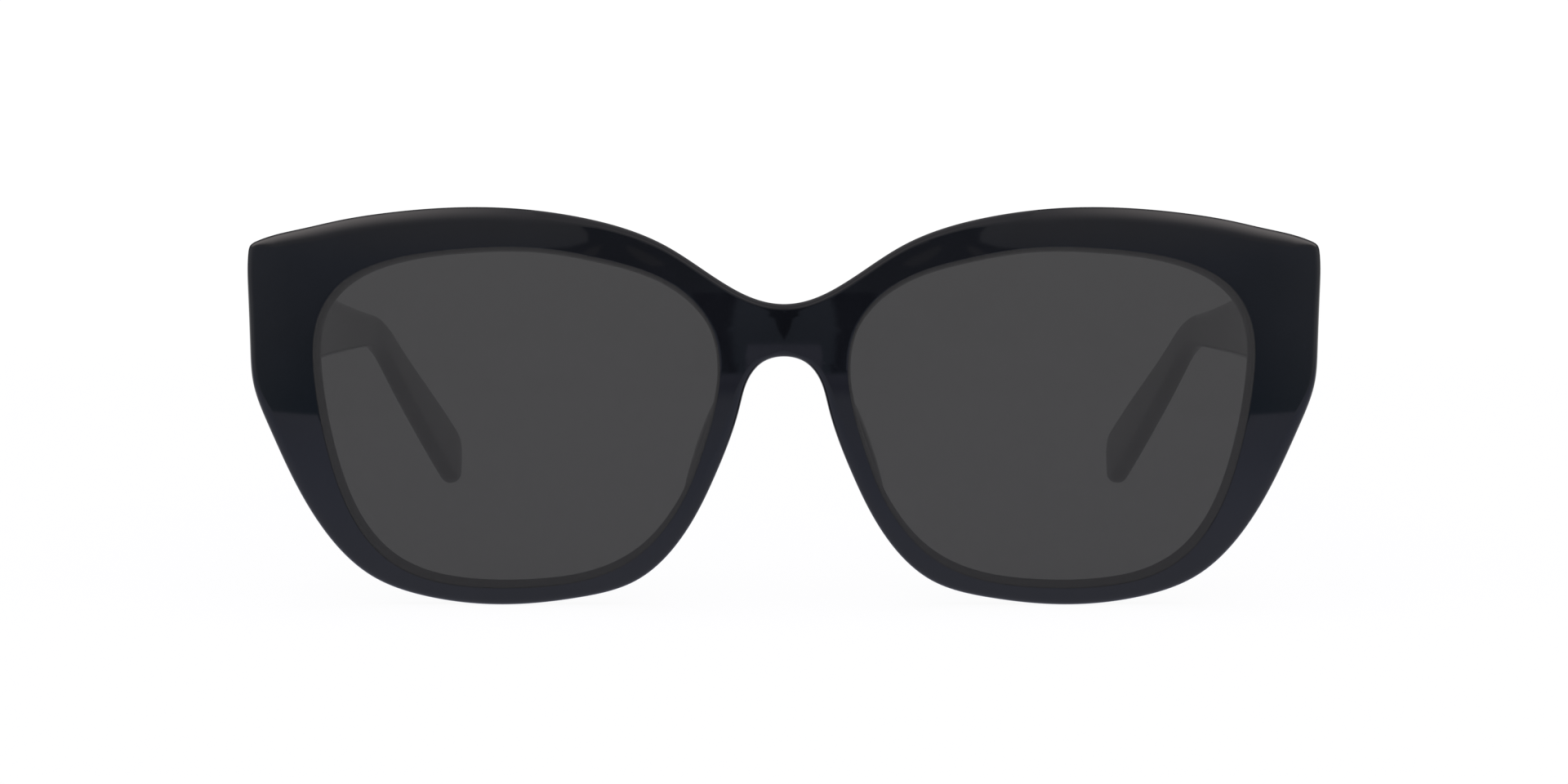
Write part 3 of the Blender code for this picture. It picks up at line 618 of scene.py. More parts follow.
@dataclass
class Outline:
    """Flat curves of the front: the edge of a lens opening and the outside of the left half."""

    lens_width: float = 53.2 * MM
    lens_height: float = 44.8 * MM
    bridge_width: float = 16.7 * MM
    bridge_underside: float = 8.0 * MM
    bridge_height: float = 6.9 * MM
    brow_height: float = 5.25 * MM
    lower_rim: float = 2.45 * MM
    end_piece_width: float = 9.0 * MM
    fine_steps: int = 24

    @property
    def nose_x(self) -> float:
        """Nose side of the lens opening."""
        return self.bridge_width / 2

    @property
    def temple_x(self) -> float:
        """Temple side of the lens opening."""
        return self.nose_x + self.lens_width

    @property
    def eye_x(self) -> float:
        """Middle of the lens opening."""
        return self.nose_x + self.lens_width / 2

    @property
    def end_x(self) -> float:
        """Outer side of the end-piece."""
        return self.temple_x + self.end_piece_width

    def lens_edge(self, steps: int) -> Array:
        """Edge of the left lens opening: a smooth loop through shares of its half width and height.

        Args:
            steps: points between two knots.

        Returns:
            (n, 2) places, counter-clockwise.
        """
        shares = (
            ((-0.969, 0.02), (-0.911, -0.21), (-0.84, -0.43), (-0.74, -0.63), (-0.605, -0.80))
            + ((-0.44, -0.912), (-0.08, -0.993), (0.28, -0.986), (0.475, -0.938), (0.65, -0.826))
            + ((0.78, -0.65), (0.926, -0.218), (0.997, 0.265), (0.987, 0.54), (0.876, 0.77))
            + ((0.67, 0.906), (0.265, 0.99), (-0.087, 0.997), (-0.44, 0.927), (-0.635, 0.86))
            + ((-0.825, 0.735), (-0.96, 0.53), (-1.0, 0.27))
        )
        half = np.array([self.lens_width, self.lens_height]) / 2
        return smooth_loop(np.array([self.eye_x, 0.0]) + np.array(shares) * half, steps)

    def rim(self, steps: int) -> tuple[Array, Array]:
        """Outside of the left half, from under the bridge round the rim to the top of the bridge.

        Args:
            steps: points between two knots.

        Returns:
            The places and their outward normals, both (n, 2).
        """
        width, high = self.lens_width, self.lens_height / 2
        top = self.bridge_underside + self.bridge_height
        half = [
            (0.0, self.bridge_underside),
            (0.32 * self.nose_x, 0.9125 * self.bridge_underside),
            (0.54 * self.nose_x, 0.65 * self.bridge_underside),
            (0.685 * self.nose_x, 0.1625 * self.bridge_underside),
            (1.048 * self.nose_x, -0.326 * high),
            (self.nose_x + 0.094 * width, -0.714 * high),
            (self.nose_x + 0.207 * width, -0.969 * high),
            (self.nose_x + 0.346 * width, -high - 0.61 * self.lower_rim),
            (self.eye_x + 0.0376 * width, -high - self.lower_rim),
            (self.temple_x - 0.271 * width, -high - 0.57 * self.lower_rim),
            (self.temple_x - 0.137 * width, -0.946 * high),
            (self.temple_x - 0.013 * width, -0.656 * high),
            (self.temple_x + 0.70 * self.end_piece_width, -0.058 * high),
            (self.end_x - 0.078 * self.end_piece_width, 0.1875 * high),
            (self.end_x - 0.033 * self.end_piece_width, 0.402 * high),
            (self.end_x, 0.737 * high),
            (self.end_x, 0.951 * high),
            (self.end_x - 0.033 * self.end_piece_width, high),
            (self.end_x - 0.133 * self.end_piece_width, high + 0.114 * self.brow_height),
            (self.temple_x + 0.2 * self.end_piece_width, high + 0.438 * self.brow_height),
            (self.temple_x - 0.056 * width, high + 0.648 * self.brow_height),
            (self.temple_x - 0.182 * width, high + 0.857 * self.brow_height),
            (self.eye_x + 0.056 * width, high + self.brow_height),
            (self.nose_x + 0.331 * width, high + 0.733 * self.brow_height),
            (self.nose_x + 0.135 * width, high + 0.057 * self.brow_height),
            (0.86 * self.nose_x, top + 0.32 * (high - top)),
            (0.38 * self.nose_x, top + 0.067 * (high - top)),
            (0.0, top),
        ]
        mirrored = [(-x, z) for x, z in reversed(half[1:-1])]
        whole = smooth_loop(np.array(half + mirrored), steps)
        count = (len(half) - 1) * steps + 1
        return whole[:count], outward_normals(whole)[:count]

    def lip_facing(self, places: Array) -> tuple[Array, Array]:
        """Points of the lens opening in the direction of flat places from its middle.

        Args:
            places: (n, 2) places.

        Returns:
            The points and their outward normals, both (n, 2).
        """
        loop = self.lens_edge(self.fine_steps)
        normals = outward_normals(loop)
        centre = np.array([self.eye_x, 0.0])
        around = np.arctan2(*(loop - centre).T[::-1])
        wanted = np.arctan2(*(places - centre).T[::-1])
        found = [np.interp(wanted, around, values, period=2 * math.pi) for values in (*loop.T, *normals.T)]
        return np.stack(found[:2], axis=1), np.stack(found[2:], axis=1)


@dataclass
class Front:
    """The acetate front: both rims, the bridge and the end-pieces, grooved for the lenses."""

    outline: Outline
    face: Face
    seat_y: float
    hinge_z: float
    butt_height: float
    thickness: float = 3.8 * MM
    face_edge: float = 0.9 * MM
    brow_places: tuple[float, ...] = (16 * MM, 24 * MM, 34 * MM, 61 * MM, 67.3 * MM, 69.2 * MM)
    brow_edges: tuple[float, ...] = (0.85 * MM, 1.0 * MM, 2.0 * MM, 2.1 * MM, 1.65 * MM, 0.8 * MM)
    brow_heights: Span = (12 * MM, 20 * MM)
    bridge_reach: float = 30 * MM
    bridge_drop: float = 12 * MM
    bridge_fade: float = 6 * MM
    lower_edge: float = 1.5 * MM
    lower_heights: Span = (-2 * MM, 6 * MM)
    back_edge: float = 0.6 * MM
    lip: float = 0.05 * MM
    rear_lip_rise: float = 0.28 * MM
    rear_lip_slopes: Span = (0.3, 0.9)
    groove_from_face: float = 1.3 * MM
    groove_depth: float = 0.7 * MM
    groove_half_width: float = 0.7 * MM
    shoulder_from_lens: float = 0.15 * MM
    shoulder: float = 0.7 * MM
    draft: float = 0.5 * MM
    seat_margin: float = 1.0 * MM
    seat_fade_below: float = 5.0 * MM
    seat_fade_above: float = 2.5 * MM
    outline_steps: int = 12
    round_steps: int = 7
    bridge_steps: int = 10
    face_shares: tuple[float, ...] = (0.03, 0.12, 0.3, 0.5, 0.7, 0.88, 0.97, 1.0)
    back_steps: tuple[int, int, int] = (4, 12, 6)
    back_limits: Triple = (0.004, 0.85, 0.95)
    least_back_share: float = 0.05
    weld: float = 0.0002 * MM

    @property
    def shoulder_x(self) -> float:
        """Where the back starts to step down, or up, to the seat."""
        return self.outline.temple_x + self.shoulder_from_lens

    def back(self, flat: Array, depth: float) -> Array:
        """Points on the back, where each end-piece is milled to a flat seat for its temple.

        The point slides from its place on the curved back to the plane of the seat by the product of
        one smooth step outwards, past the lens opening, and two upwards, below and above the butt.

        Args:
            flat: (n, 2) places.
            depth: distance behind the face.

        Returns:
            (n, 3) points.
        """
        natural = self.face.place(flat, depth)
        seat = np.stack(
            [
                flat[:, 0] - self.draft,
                np.full(len(flat), self.seat_y - self.thickness + depth),
                flat[:, 1] + self.face.eye_z,
            ],
            axis=-1,
        )
        middle, half = self.hinge_z - self.face.eye_z, self.butt_height / 2 + self.seat_margin
        low, high = middle - half, middle + half
        share = smooth_step(self.shoulder_x, self.shoulder_x + self.shoulder, flat[:, 0])
        share = share * smooth_step(low - self.seat_fade_below, low, flat[:, 1])
        share = share * (1 - smooth_step(high, high + self.seat_fade_above, flat[:, 1]))
        return natural * (1 - share[:, None]) + seat * share[:, None]

    def back_shares(self, start: Array, end: Array) -> Array:
        """Where the rows across the back lie, so that some of them follow the step to the seat.

        Args:
            start: flat places at the rear of the lens opening, one at each station.
            end: flat places beside the outer rounding, one at each station.

        Returns:
            (rows, stations, 1) shares of the way from start to end.
        """
        least, most, last = self.back_limits
        run = np.maximum(end[:, 0] - start[:, 0], self.shoulder)
        way = self.shoulder_x - start[:, 0]
        foot = np.clip(way / run, least, most)
        top = np.clip((way + self.shoulder) / run, foot + self.least_back_share, last)
        knots = (np.zeros_like(foot), foot, top, np.ones_like(foot))
        spans = zip(knots[:-1], knots[1:], self.back_steps, strict=True)
        rows = [np.linspace(low, high, steps, endpoint=False) for low, high, steps in spans]
        return np.concatenate(rows)[..., None]

    def rear_inset(self, outward: Array) -> Array:
        """How far the rear of the rim reaches past the lip: more along the top of the opening."""
        return self.rear_lip_rise * smooth_step(*self.rear_lip_slopes, outward[:, 1])

    def edge_width(self, places: Array) -> Array:
        """How far the rounding reaches over the face: wide along the brow and below, narrow elsewhere.

        The brow's width runs straight between its places, and smooth steps upwards blend it with the
        width at the sides and below. Near the bridge the blend starts lower.

        Args:
            places: (n, 2) flat places on the outline.

        Returns:
            The width at each.
        """
        across, up = places[:, 0], places[:, 1]
        below = 1 - smooth_step(*self.lower_heights, up)
        sides = self.face_edge + (self.lower_edge - self.face_edge) * below
        brow = np.interp(across, self.brow_places, self.brow_edges)
        underside = self.outline.bridge_underside
        share = smooth_step(underside, underside + self.bridge_fade, up)
        share = share * smooth_step(*self.brow_heights, up + self.bridge_drop * (across < self.bridge_reach))
        return sides * (1 - share) + brow * share

    def sections(self) -> tuple[Array, int, int, int]:
        """Cross-sections of the left half, one at each station of its outline.

        A section starts on the outer side, rounds onto the face, crosses the rim, rounds into the lens
        opening, dips into the groove and comes back over the rear of the rim.

        Returns:
            (stations, sides, 3) points, how many stations lie on the outline, and the first and the
            last side that the stations along the middle of the bridge use.
        """
        rim, rim_normals = self.outline.rim(self.outline_steps)
        low = self.outline.bridge_underside + self.face_edge
        high = self.outline.bridge_underside + self.outline.bridge_height - self.face_edge
        middle = np.linspace(high, low, self.bridge_steps)[1:-1]
        places = np.concatenate([rim, np.stack([np.zeros_like(middle), middle], axis=1)])
        inward = np.concatenate([-rim_normals, np.zeros((len(middle), 2))])
        lip, outward = self.outline.lip_facing(places)
        turn = np.linspace(0, math.pi / 2, self.round_steps + 1)
        rounding = list(zip(1 - np.cos(turn), 1 - np.sin(turn), strict=True))

        soft = inward * self.edge_width(places)[:, None]
        rows = [self.face.place(places + soft * inset, self.face_edge * rise) for inset, rise in rounding]
        first = len(rows) - 1
        rim_face = places + soft
        lip_face = lip + outward * self.lip
        shares = self.face_shares
        rows += [self.face.place(rim_face * (1 - share) + lip_face * share, 0.0) for share in shares]
        rows += [
            self.face.place(lip + outward * self.lip * rise, self.lip * inset) for inset, rise in rounding[1:]
        ]
        groove = self.groove_from_face
        rear = lip - outward * self.rear_inset(outward)[:, None]
        rows += [
            self.face.place(lip, groove - self.groove_half_width),
            self.face.place(lip + outward * self.groove_depth, groove),
            self.face.place((lip + rear) / 2, groove + self.groove_half_width),
        ]
        rows += [
            self.face.place(rear + outward * self.lip * inset, self.thickness - self.lip * rise)
            for inset, rise in rounding[:-1]
        ]
        rear_face = rear + outward * self.lip
        rim_back = places + inward * self.back_edge
        rows += [
            self.back(rear_face * (1 - share) + rim_back * share, self.thickness)
            for share in self.back_shares(rear_face, rim_back)
        ]
        last = len(rows)
        rows += [
            self.back(places + inward * self.back_edge * inset, self.thickness - self.back_edge * rise)
            for inset, rise in reversed(rounding)
        ]
        return np.stack(rows, axis=1), len(rim), first, last

    def half(self) -> Shell:
        """Skin of the left half, open only along the middle of the bridge.

        The loft also runs round the stations along the middle, where only the sides between the face and
        the back are kept.

        Returns:
            The open skin.
        """
        sections, on_rim, first, last = self.sections()
        count, sides = sections.shape[:2]
        shell = Shell.loft(sections, wrap=True)
        quads = shell.faces[0].reshape(count, sides, 4)
        station = np.arange(count)
        beyond = np.maximum(station, (station + 1) % count) >= on_rim
        side = np.arange(sides)
        crossing = (side < first) | (side >= last)
        keep = ~(beyond[:, None] & crossing[None, :])
        return Shell(shell.points, [quads[keep]])

    def build(self) -> bpy.types.Object:
        """Both halves, welded where their points agree along the middle of the bridge.

        Returns:
            The front as one piece.
        """
        half = self.half()
        whole = half.plus(half.on(Side.RIGHT))
        places = np.round(whole.points / self.weld).astype(np.int64)
        _, first, index = np.unique(places, axis=0, return_index=True, return_inverse=True)
        faces = [index.reshape(-1)[face] for face in whole.faces]
        return Shell(whole.points[first], faces).piece("acetate_front", sharp=50.0)


# ---------------------------------------------------------------- lenses and nose pads


@dataclass
class Lens:
    """Meniscus lens whose bevel sits in the groove of its rim."""

    front: Front
    thickness: float = 2.2 * MM
    behind_face: float = 0.1 * MM
    clearance: float = 0.01 * MM
    ring_shares: Span = (0.03, 0.985)
    rings: int = 14
    steps: int = 10

    def build(self, side: Side) -> bpy.types.Object:
        """Lens of one side: rings that shrink to the middle on both faces, and a bevelled edge between.

        Every ring is the lens opening scaled about its middle, laid at its own depth behind the face.

        Args:
            side: which lens.

        Returns:
            The lens.
        """
        outline, face = self.front.outline, self.front.face
        loop = outline.lens_edge(self.steps)
        normals = outward_normals(loop)
        middle = np.array([outline.eye_x, 0.0])
        groove = self.front.groove_from_face
        near, far = self.behind_face, self.behind_face + self.thickness
        bevel = self.front.groove_half_width - self.clearance
        edge = loop - normals * self.clearance
        rear = edge - normals * self.front.rear_inset(normals)[:, None]
        apex = loop + normals * (self.front.groove_depth - self.clearance)
        shrink = np.linspace(*self.ring_shares, self.rings)
        rings = [face.place(middle + (edge - middle) * share, near) for share in shrink]
        rings += [
            face.place(edge, near),
            face.place(edge, groove - bevel),
            face.place(apex, groove),
            face.place(rear, groove + bevel),
            face.place(rear, far),
        ]
        rings += [face.place(middle + (rear - middle) * share, far) for share in shrink[::-1]]
        shell = Shell.loft(np.stack(rings)[:, ::-1]).capped(len(loop))
        return shell.on(side).piece(f"sun_lens_{side.word}", sharp=30.0)


@dataclass
class NosePad:
    """Acetate pad bonded behind the nose side of a rim."""

    front: Front
    depth: float = 5.8 * MM
    splay: float = 1.1 * MM
    top: float = 3.0 * MM
    bottom: float = -11.8 * MM
    glue: float = 0.02 * MM
    end_share: float = 0.03
    end_width: float = 0.55
    back_taper: float = 0.3
    squareness: float = 0.7
    stations: int = 33
    sides: int = 28

    def build(self, side: Side) -> bpy.types.Object:
        """Pad of one side, lofted along the rim.

        At a share s of its length the pad swells by sqrt(1 - (2s - 1)^2). Its section is a superellipse
        that starts on the back of the rim, rises straight back and leans outwards by the splay.

        Args:
            side: which pad.

        Returns:
            The pad.
        """
        outline, face = self.front.outline, self.front.face
        rim, normals = outline.rim(outline.fine_steps)
        nose_side = (rim[:, 0] < outline.eye_x) & (rim[:, 1] < outline.bridge_underside)
        share = (1 - np.cos(np.linspace(self.end_share, 1 - self.end_share, self.stations) * math.pi)) / 2
        wanted = self.bottom + (self.top - self.bottom) * share
        heights = rim[nose_side, 1][::-1]
        place = np.stack([np.interp(wanted, heights, rim[nose_side, 0][::-1]), wanted], axis=1)
        inward = -np.stack([np.interp(wanted, heights, normals[nose_side, k][::-1]) for k in (0, 1)], axis=1)
        lip, away = outline.lip_facing(place)
        swell = np.sqrt(1 - (2 * share - 1) ** 2)[:, None, None]
        near = place + inward * self.front.back_edge
        far = lip + away * self.front.lip
        middle = ((near + far) / 2)[:, None]
        half = ((far - near) / 2)[:, None] * (self.end_width + (1 - self.end_width) * swell)
        turn = np.linspace(0, 2 * math.pi, self.sides, endpoint=False)
        sway = np.sign(np.cos(turn)) * np.abs(np.cos(turn)) ** self.squareness
        lift = (1 + np.sign(np.sin(turn)) * np.abs(np.sin(turn)) ** self.squareness) / 2
        taper = 1 - self.back_taper * lift**2
        lean = inward[:, None] * self.splay * swell * lift[None, :, None]
        flat = middle + half * (sway * taper)[None, :, None] + lean
        points = face.place(flat, self.front.thickness + self.glue)
        points[..., 1] += self.depth * swell[..., 0] * lift[None, :]
        shell = Shell.loft(points).capped(self.sides)
        return shell.on(side).piece(f"acetate_pad_{side.word}", sharp=60.0)


# ---------------------------------------------------------------- temples


@dataclass
class Temple:
    """Acetate temple: a deep flat bar that narrows to a waist, drops behind the ear and ends in a paddle."""

    outer_x: float
    axis: Vector
    thickness: float = 4.35 * MM
    waist_thickness: float = 2.7 * MM
    tip_thickness: float = 2.8 * MM
    butt_height: float = 14.4 * MM
    waist_height: float = 5.0 * MM
    paddle_height: float = 9.3 * MM
    paddle_rise: float = 1.42
    straight: float = 87.1 * MM
    bend_radius: float = 30.9 * MM
    drop_angle: float = math.radians(26.0)
    drop: float = 36.8 * MM
    inward_start: float = 23.0 * MM
    inward_end: float = 116.7 * MM
    inward_radius: float = 471.0 * MM
    edge: float = 1.0 * MM
    tip_edge: float = 1.3 * MM
    butt_y: float = -1.7 * MM
    chamfer: float = 0.4 * MM
    tip_thinning: float = 0.45
    first: float = 4.0 * MM
    last_turn: float = math.radians(87)
    bar_stations: int = 36
    hook_stations: int = 48
    end_stations: int = 14
    line_lead: float = -10 * MM
    line_points: int = 900
    steps: int = 6

    @property
    def tip(self) -> float:
        """Distance from the hinge axis at which the round end starts."""
        return self.straight + self.bend_radius * self.drop_angle + self.drop

    def side_place(self, distance: Array) -> tuple[Array, Array]:
        """The centre line seen from the side: a line, an arc, and a line that drops.

        Args:
            distance: distances from the hinge axis along the line.

        Returns:
            How far back and how far up each place lies.
        """
        angle = np.clip(distance - self.straight, 0, self.bend_radius * self.drop_angle) / self.bend_radius
        past = np.maximum(distance - self.straight - self.bend_radius * self.drop_angle, 0)
        along = np.minimum(distance, self.straight) + self.bend_radius * np.sin(angle)
        rise = -self.bend_radius * (1 - np.cos(angle)) - past * math.sin(self.drop_angle)
        return along + past * math.cos(self.drop_angle), rise

    def frames(self, distance: Array) -> tuple[Array, Array, Array, Array]:
        """Centre line, unit (across, up) axes and thickness at each distance, before the tilt.

        Seen from above the line is straight, then an arc that turns inwards, then straight again.

        Args:
            distance: distances from the hinge axis along the line.

        Returns:
            The line, the two axes, all (n, 3), and the thickness.
        """
        fine = np.linspace(self.line_lead, self.tip + self.paddle_height, self.line_points)
        along, rise = self.side_place(fine)
        widths = (self.thickness, self.waist_thickness, self.tip_thickness)
        thickness = np.interp(fine, (0, self.straight, self.tip), widths)
        curving = np.clip(fine, self.inward_start, self.inward_end) - self.inward_start
        past = np.maximum(fine - self.inward_end, 0)
        inward = (curving**2 / 2 + curving * past) / self.inward_radius
        line = np.stack([self.outer_x - self.axis.x - thickness / 2 - inward, along, rise], axis=1)
        tangent = np.gradient(line, axis=0)
        tangent /= np.linalg.norm(tangent, axis=1, keepdims=True)
        up = np.cross([1.0, 0, 0], tangent)
        up /= np.linalg.norm(up, axis=1, keepdims=True)
        across = np.cross(tangent, up)
        found = [
            np.stack([np.interp(distance, fine, vectors[:, k]) for k in range(3)], axis=1)
            for vectors in (line, across, up)
        ]
        return (*found, np.interp(distance, fine, thickness))

    def heights(self, distance: Array) -> tuple[Array, Array]:
        """Height of the bar and the share of its thickness that is left round the tip.

        A straight taper to the waist, a smooth step up to the paddle, and a half circle for the end.

        Args:
            distance: distances from the hinge axis along the line.

        Returns:
            The height and the share at each.
        """
        taper = np.clip(distance / self.straight, 0, 1)
        height = self.butt_height + (self.waist_height - self.butt_height) * taper
        paddle = smooth_step(self.straight, self.straight + self.paddle_rise * self.drop, distance)
        height = height + (self.paddle_height - self.waist_height) * paddle
        beyond = np.clip((distance - self.tip) / (self.paddle_height / 2), 0, 1)
        return height * np.sqrt(1 - beyond**2), 1 - self.tip_thinning * beyond**4

    def level(self, distance: Array, inset: float = 0.0) -> Array:
        """Round-cornered sections before the tilt.

        Args:
            distance: distances of the sections from the hinge axis.
            inset: how far every section is drawn in.

        Returns:
            (stations, sides, 3) points about the hinge.
        """
        line, across, up, thickness = self.frames(distance)
        height, left = self.heights(distance)
        soft = smooth_step(0, self.straight + self.drop, distance)
        radius = self.edge + (self.tip_edge - self.edge) * soft
        flat = rounded_rectangle(thickness * left - 2 * inset, height - 2 * inset, radius, self.steps)
        return line[:, None] + flat[..., :1] * across[:, None] + flat[..., 1:] * up[:, None]

    def stations(self) -> Array:
        """Distances of the sections, closer together in the bend, the drop and round the tip."""
        bar = np.linspace(self.first, self.straight, self.bar_stations)[:-1]
        hook = np.linspace(self.straight, self.tip, self.hook_stations)
        turn = np.sin(np.linspace(0, self.last_turn, self.end_stations))[1:]
        return np.concatenate([bar, hook, self.tip + self.paddle_height / 2 * turn])

    def tilt(self) -> float:
        """Angle that the temple slopes down by until its first point touches the table.

        A point at distance r and angle a from the hinge, which is h above the table, touches it after a
        turn of asin(h / r) + a.

        Returns:
            The smallest of these turns.
        """
        _, along, rise = self.level(self.stations()).reshape(-1, 3).T
        reach = np.hypot(along, rise)
        touching = reach > self.axis.z
        angles = np.arcsin(self.axis.z / reach[touching]) + np.arctan2(rise, along)[touching]
        return float(angles.min())

    def build(self, side: Side) -> bpy.types.Object:
        """Temple of one side, its butt cut upright.

        Args:
            side: which temple.

        Returns:
            The temple.
        """
        tilt = self.tilt()
        cos, sin = math.cos(tilt), math.sin(tilt)

        def turned(points: Array) -> Array:
            """Points turned down about the hinge by the tilt."""
            x, y, z = points[..., 0], points[..., 1], points[..., 2]
            return np.stack([x, y * cos + z * sin, z * cos - y * sin], axis=-1)

        start = np.array([0.0])
        ends = []
        for inset, place in ((self.chamfer, self.butt_y), (0.0, self.butt_y + self.chamfer)):
            ring = turned(self.level(start, inset)[0])
            slide = (place - ring[:, 1]) / cos
            ends.append(ring + slide[:, None] * np.array([0, cos, -sin]))
        rings = np.concatenate([np.stack(ends), turned(self.level(self.stations()))])
        shell = Shell.loft(rings[:, ::-1]).capped(rings.shape[1])
        shell.points = shell.points + np.array(self.axis)
        return shell.on(side).piece(f"acetate_temple_{side.word}", sharp=40.0)


# ---------------------------------------------------------------- hinges


@dataclass
class Hinge:
    """Five-barrel hinge: a plate with three barrels in the front, one with two in the temple, a screw."""

    axis: Vector
    barrel_radius: float = 1.5 * MM
    barrel_height: float = 1.3 * MM
    barrel_gap: float = 0.1 * MM
    barrels: int = 5
    bore: float = 0.75 * MM
    to_front_plate: float = 1.9 * MM
    to_temple_plate: float = 1.8 * MM
    plate: float = 1.0 * MM
    front_plate_width: float = 4.6 * MM
    temple_plate_length: float = 8.5 * MM
    soft: float = 0.12 * MM
    seat_clearance: float = 0.08 * MM
    screw_radius: float = 0.70 * MM
    head_radius: float = 1.3 * MM
    head_height: float = 0.6 * MM
    head_soft: float = 0.24 * MM
    slot_width: float = 0.32 * MM
    slot_share: float = 0.55
    tip_length: float = 0.3 * MM
    tip_share: float = 0.5
    plate_corner: float = 0.36 * MM
    corner_steps: int = 4
    sides: int = 48
    tiny: float = 1e-9

    @property
    def stack(self) -> float:
        """Height of all the barrels and their gaps."""
        return self.barrels * self.barrel_height + (self.barrels - 1) * self.barrel_gap

    def leaf(self, level: int, reach: float, turn: float) -> Shell:
        """One barrel with its neck: round about the bore, straight out to its plate, edges broken.

        The outline is the circle where it faces away from the plate, and elsewhere the ray's exit from
        a strip as wide as the barrel that ends at the reach.

        Args:
            level: place of the barrel in the stack, counted from the lowest.
            reach: distance from the axis to the end of the neck.
            turn: angle that the neck is turned by about the axis.

        Returns:
            The closed skin about the axis.
        """
        angle = np.arange(self.sides) * 2 * math.pi / self.sides
        x, y = np.cos(angle), np.sin(angle)
        strip = np.minimum(
            self.barrel_radius / np.maximum(np.abs(x), self.tiny), reach / np.maximum(-y, self.tiny)
        )
        outer = np.stack([x, y], axis=1) * np.where(y >= -self.tiny, self.barrel_radius, strip)[:, None]
        inner = np.stack([x, y], axis=1) * self.bore
        small = outer * (1 - self.soft / self.barrel_radius)
        low = -self.stack / 2 + level * (self.barrel_height + self.barrel_gap)
        high = low + self.barrel_height
        spin = np.array([[math.cos(turn), math.sin(turn)], [-math.sin(turn), math.cos(turn)]])
        section = (
            (small, low),
            (outer, low + self.soft),
            (outer, high - self.soft),
            (small, high),
            (inner, high),
            (inner, low),
        )
        rings = [np.column_stack([ring @ spin, np.full(self.sides, z)]) for ring, z in section]
        return Shell.loft(np.stack(rings), wrap=True)

    def slab(self, low: Sequence[float], high: Sequence[float], flat: int) -> Shell:
        """Plate with round corners in plan and broken edges.

        Args:
            low: lowest corner.
            high: highest corner.
            flat: index of the axis that the plate is thin along.

        Returns:
            The closed skin.
        """
        low, high = np.array(low, float), np.array(high, float)
        middle, size = (low + high) / 2, high - low
        wide, tall = [axis for axis in range(3) if axis != flat]
        insets = np.array([self.soft, 0.0, 0.0, self.soft])
        half = size[flat] / 2
        depth = np.array([-half, -half + self.soft, half - self.soft, half])
        radius = np.full(len(insets), self.plate_corner)
        ring = rounded_rectangle(
            size[wide] - 2 * insets, size[tall] - 2 * insets, radius, self.corner_steps
        )
        points = np.zeros((len(insets), ring.shape[1], 3))
        points[..., wide] = ring[..., 0]
        points[..., tall] = ring[..., 1]
        points[..., flat] = depth[:, None]
        if flat == 1:
            points = points[:, ::-1]
        return Shell.loft(points + middle).capped(ring.shape[1])

    def plates(self, grow: float = 0.0, open_side: float = 0.0) -> tuple[Box, Box]:
        """Boxes of the front's plate and of the temple's plate, about the axis.

        Args:
            grow: how far the sunk sides move out.
            open_side: how far the side at the barrels moves out.

        Returns:
            The front's box and the temple's.
        """
        half = self.stack / 2 + grow
        inner = -self.barrel_radius - grow
        outer = self.front_plate_width - self.barrel_radius + grow
        front = (
            np.array([inner, -self.to_front_plate - self.plate - grow, -half]),
            np.array([outer, -self.to_front_plate + open_side, half]),
        )
        temple = (
            np.array([self.to_temple_plate - open_side, -self.barrel_radius - open_side, -half]),
            np.array([self.to_temple_plate + self.plate + grow, self.temple_plate_length + grow, half]),
        )
        return front, temple

    def placed(self, shell: Shell, side: Side, name: str) -> bpy.types.Object:
        """A piece from a shell about the left hinge's axis.

        Args:
            shell: the skin, drawn for the left side.
            side: which hinge.
            name: name of the piece.

        Returns:
            The piece.
        """
        moved = Shell(shell.points + np.array(self.axis), shell.faces)
        return moved.on(side).piece(name, sharp=35.0)

    def half(self, side: Side, front: bool) -> bpy.types.Object:
        """Half of the hinge of one side.

        Args:
            side: which hinge.
            front: True for the front's half, with the odd barrels.

        Returns:
            The plate and its barrels as one piece.
        """
        low, high = self.plates()[0 if front else 1]
        shell = self.slab(low, high, flat=1 if front else 0)
        reach = (self.to_front_plate if front else self.to_temple_plate) + self.plate / 2
        for level in range(0 if front else 1, self.barrels, 2):
            shell = shell.plus(self.leaf(level, reach, 0.0 if front else math.pi / 2))
        return self.placed(shell, side, f"{'front' if front else 'temple'}_barrels_{side.word}")

    def screw(self, side: Side) -> bpy.types.Object:
        """Slotted screw: a tapered tip, a shank through every barrel and a round-edged head.

        Args:
            side: which hinge.

        Returns:
            The screw, with its slot cut.
        """
        top = self.stack / 2
        head = top + self.barrel_gap / 2
        turn = np.linspace(0, math.pi / 2, self.corner_steps + 1)
        across = self.head_radius - self.head_soft * (1 - np.cos(turn))
        up = head + self.head_height - self.head_soft * (1 - np.sin(turn))
        dome = np.stack([across, up], axis=1)
        profile = np.array(
            [
                (self.screw_radius * self.tip_share, -top - self.tip_length),
                (self.screw_radius, -top),
                (self.screw_radius, head),
                (self.head_radius - self.soft / 2, head),
                (self.head_radius, head + self.soft / 2),
            ]
        )
        item = self.placed(lathe(np.concatenate([profile, dome])), side, f"slotted_screw_{side.word}")
        middle = np.array(self.axis) * [side.value, 1, 1] + [0, 0, head + self.head_height]
        reach = np.array([2 * self.head_radius, self.slot_width / 2, self.head_height * self.slot_share])
        carve(item, (middle - reach, middle + reach), sharp=35.0)
        return item


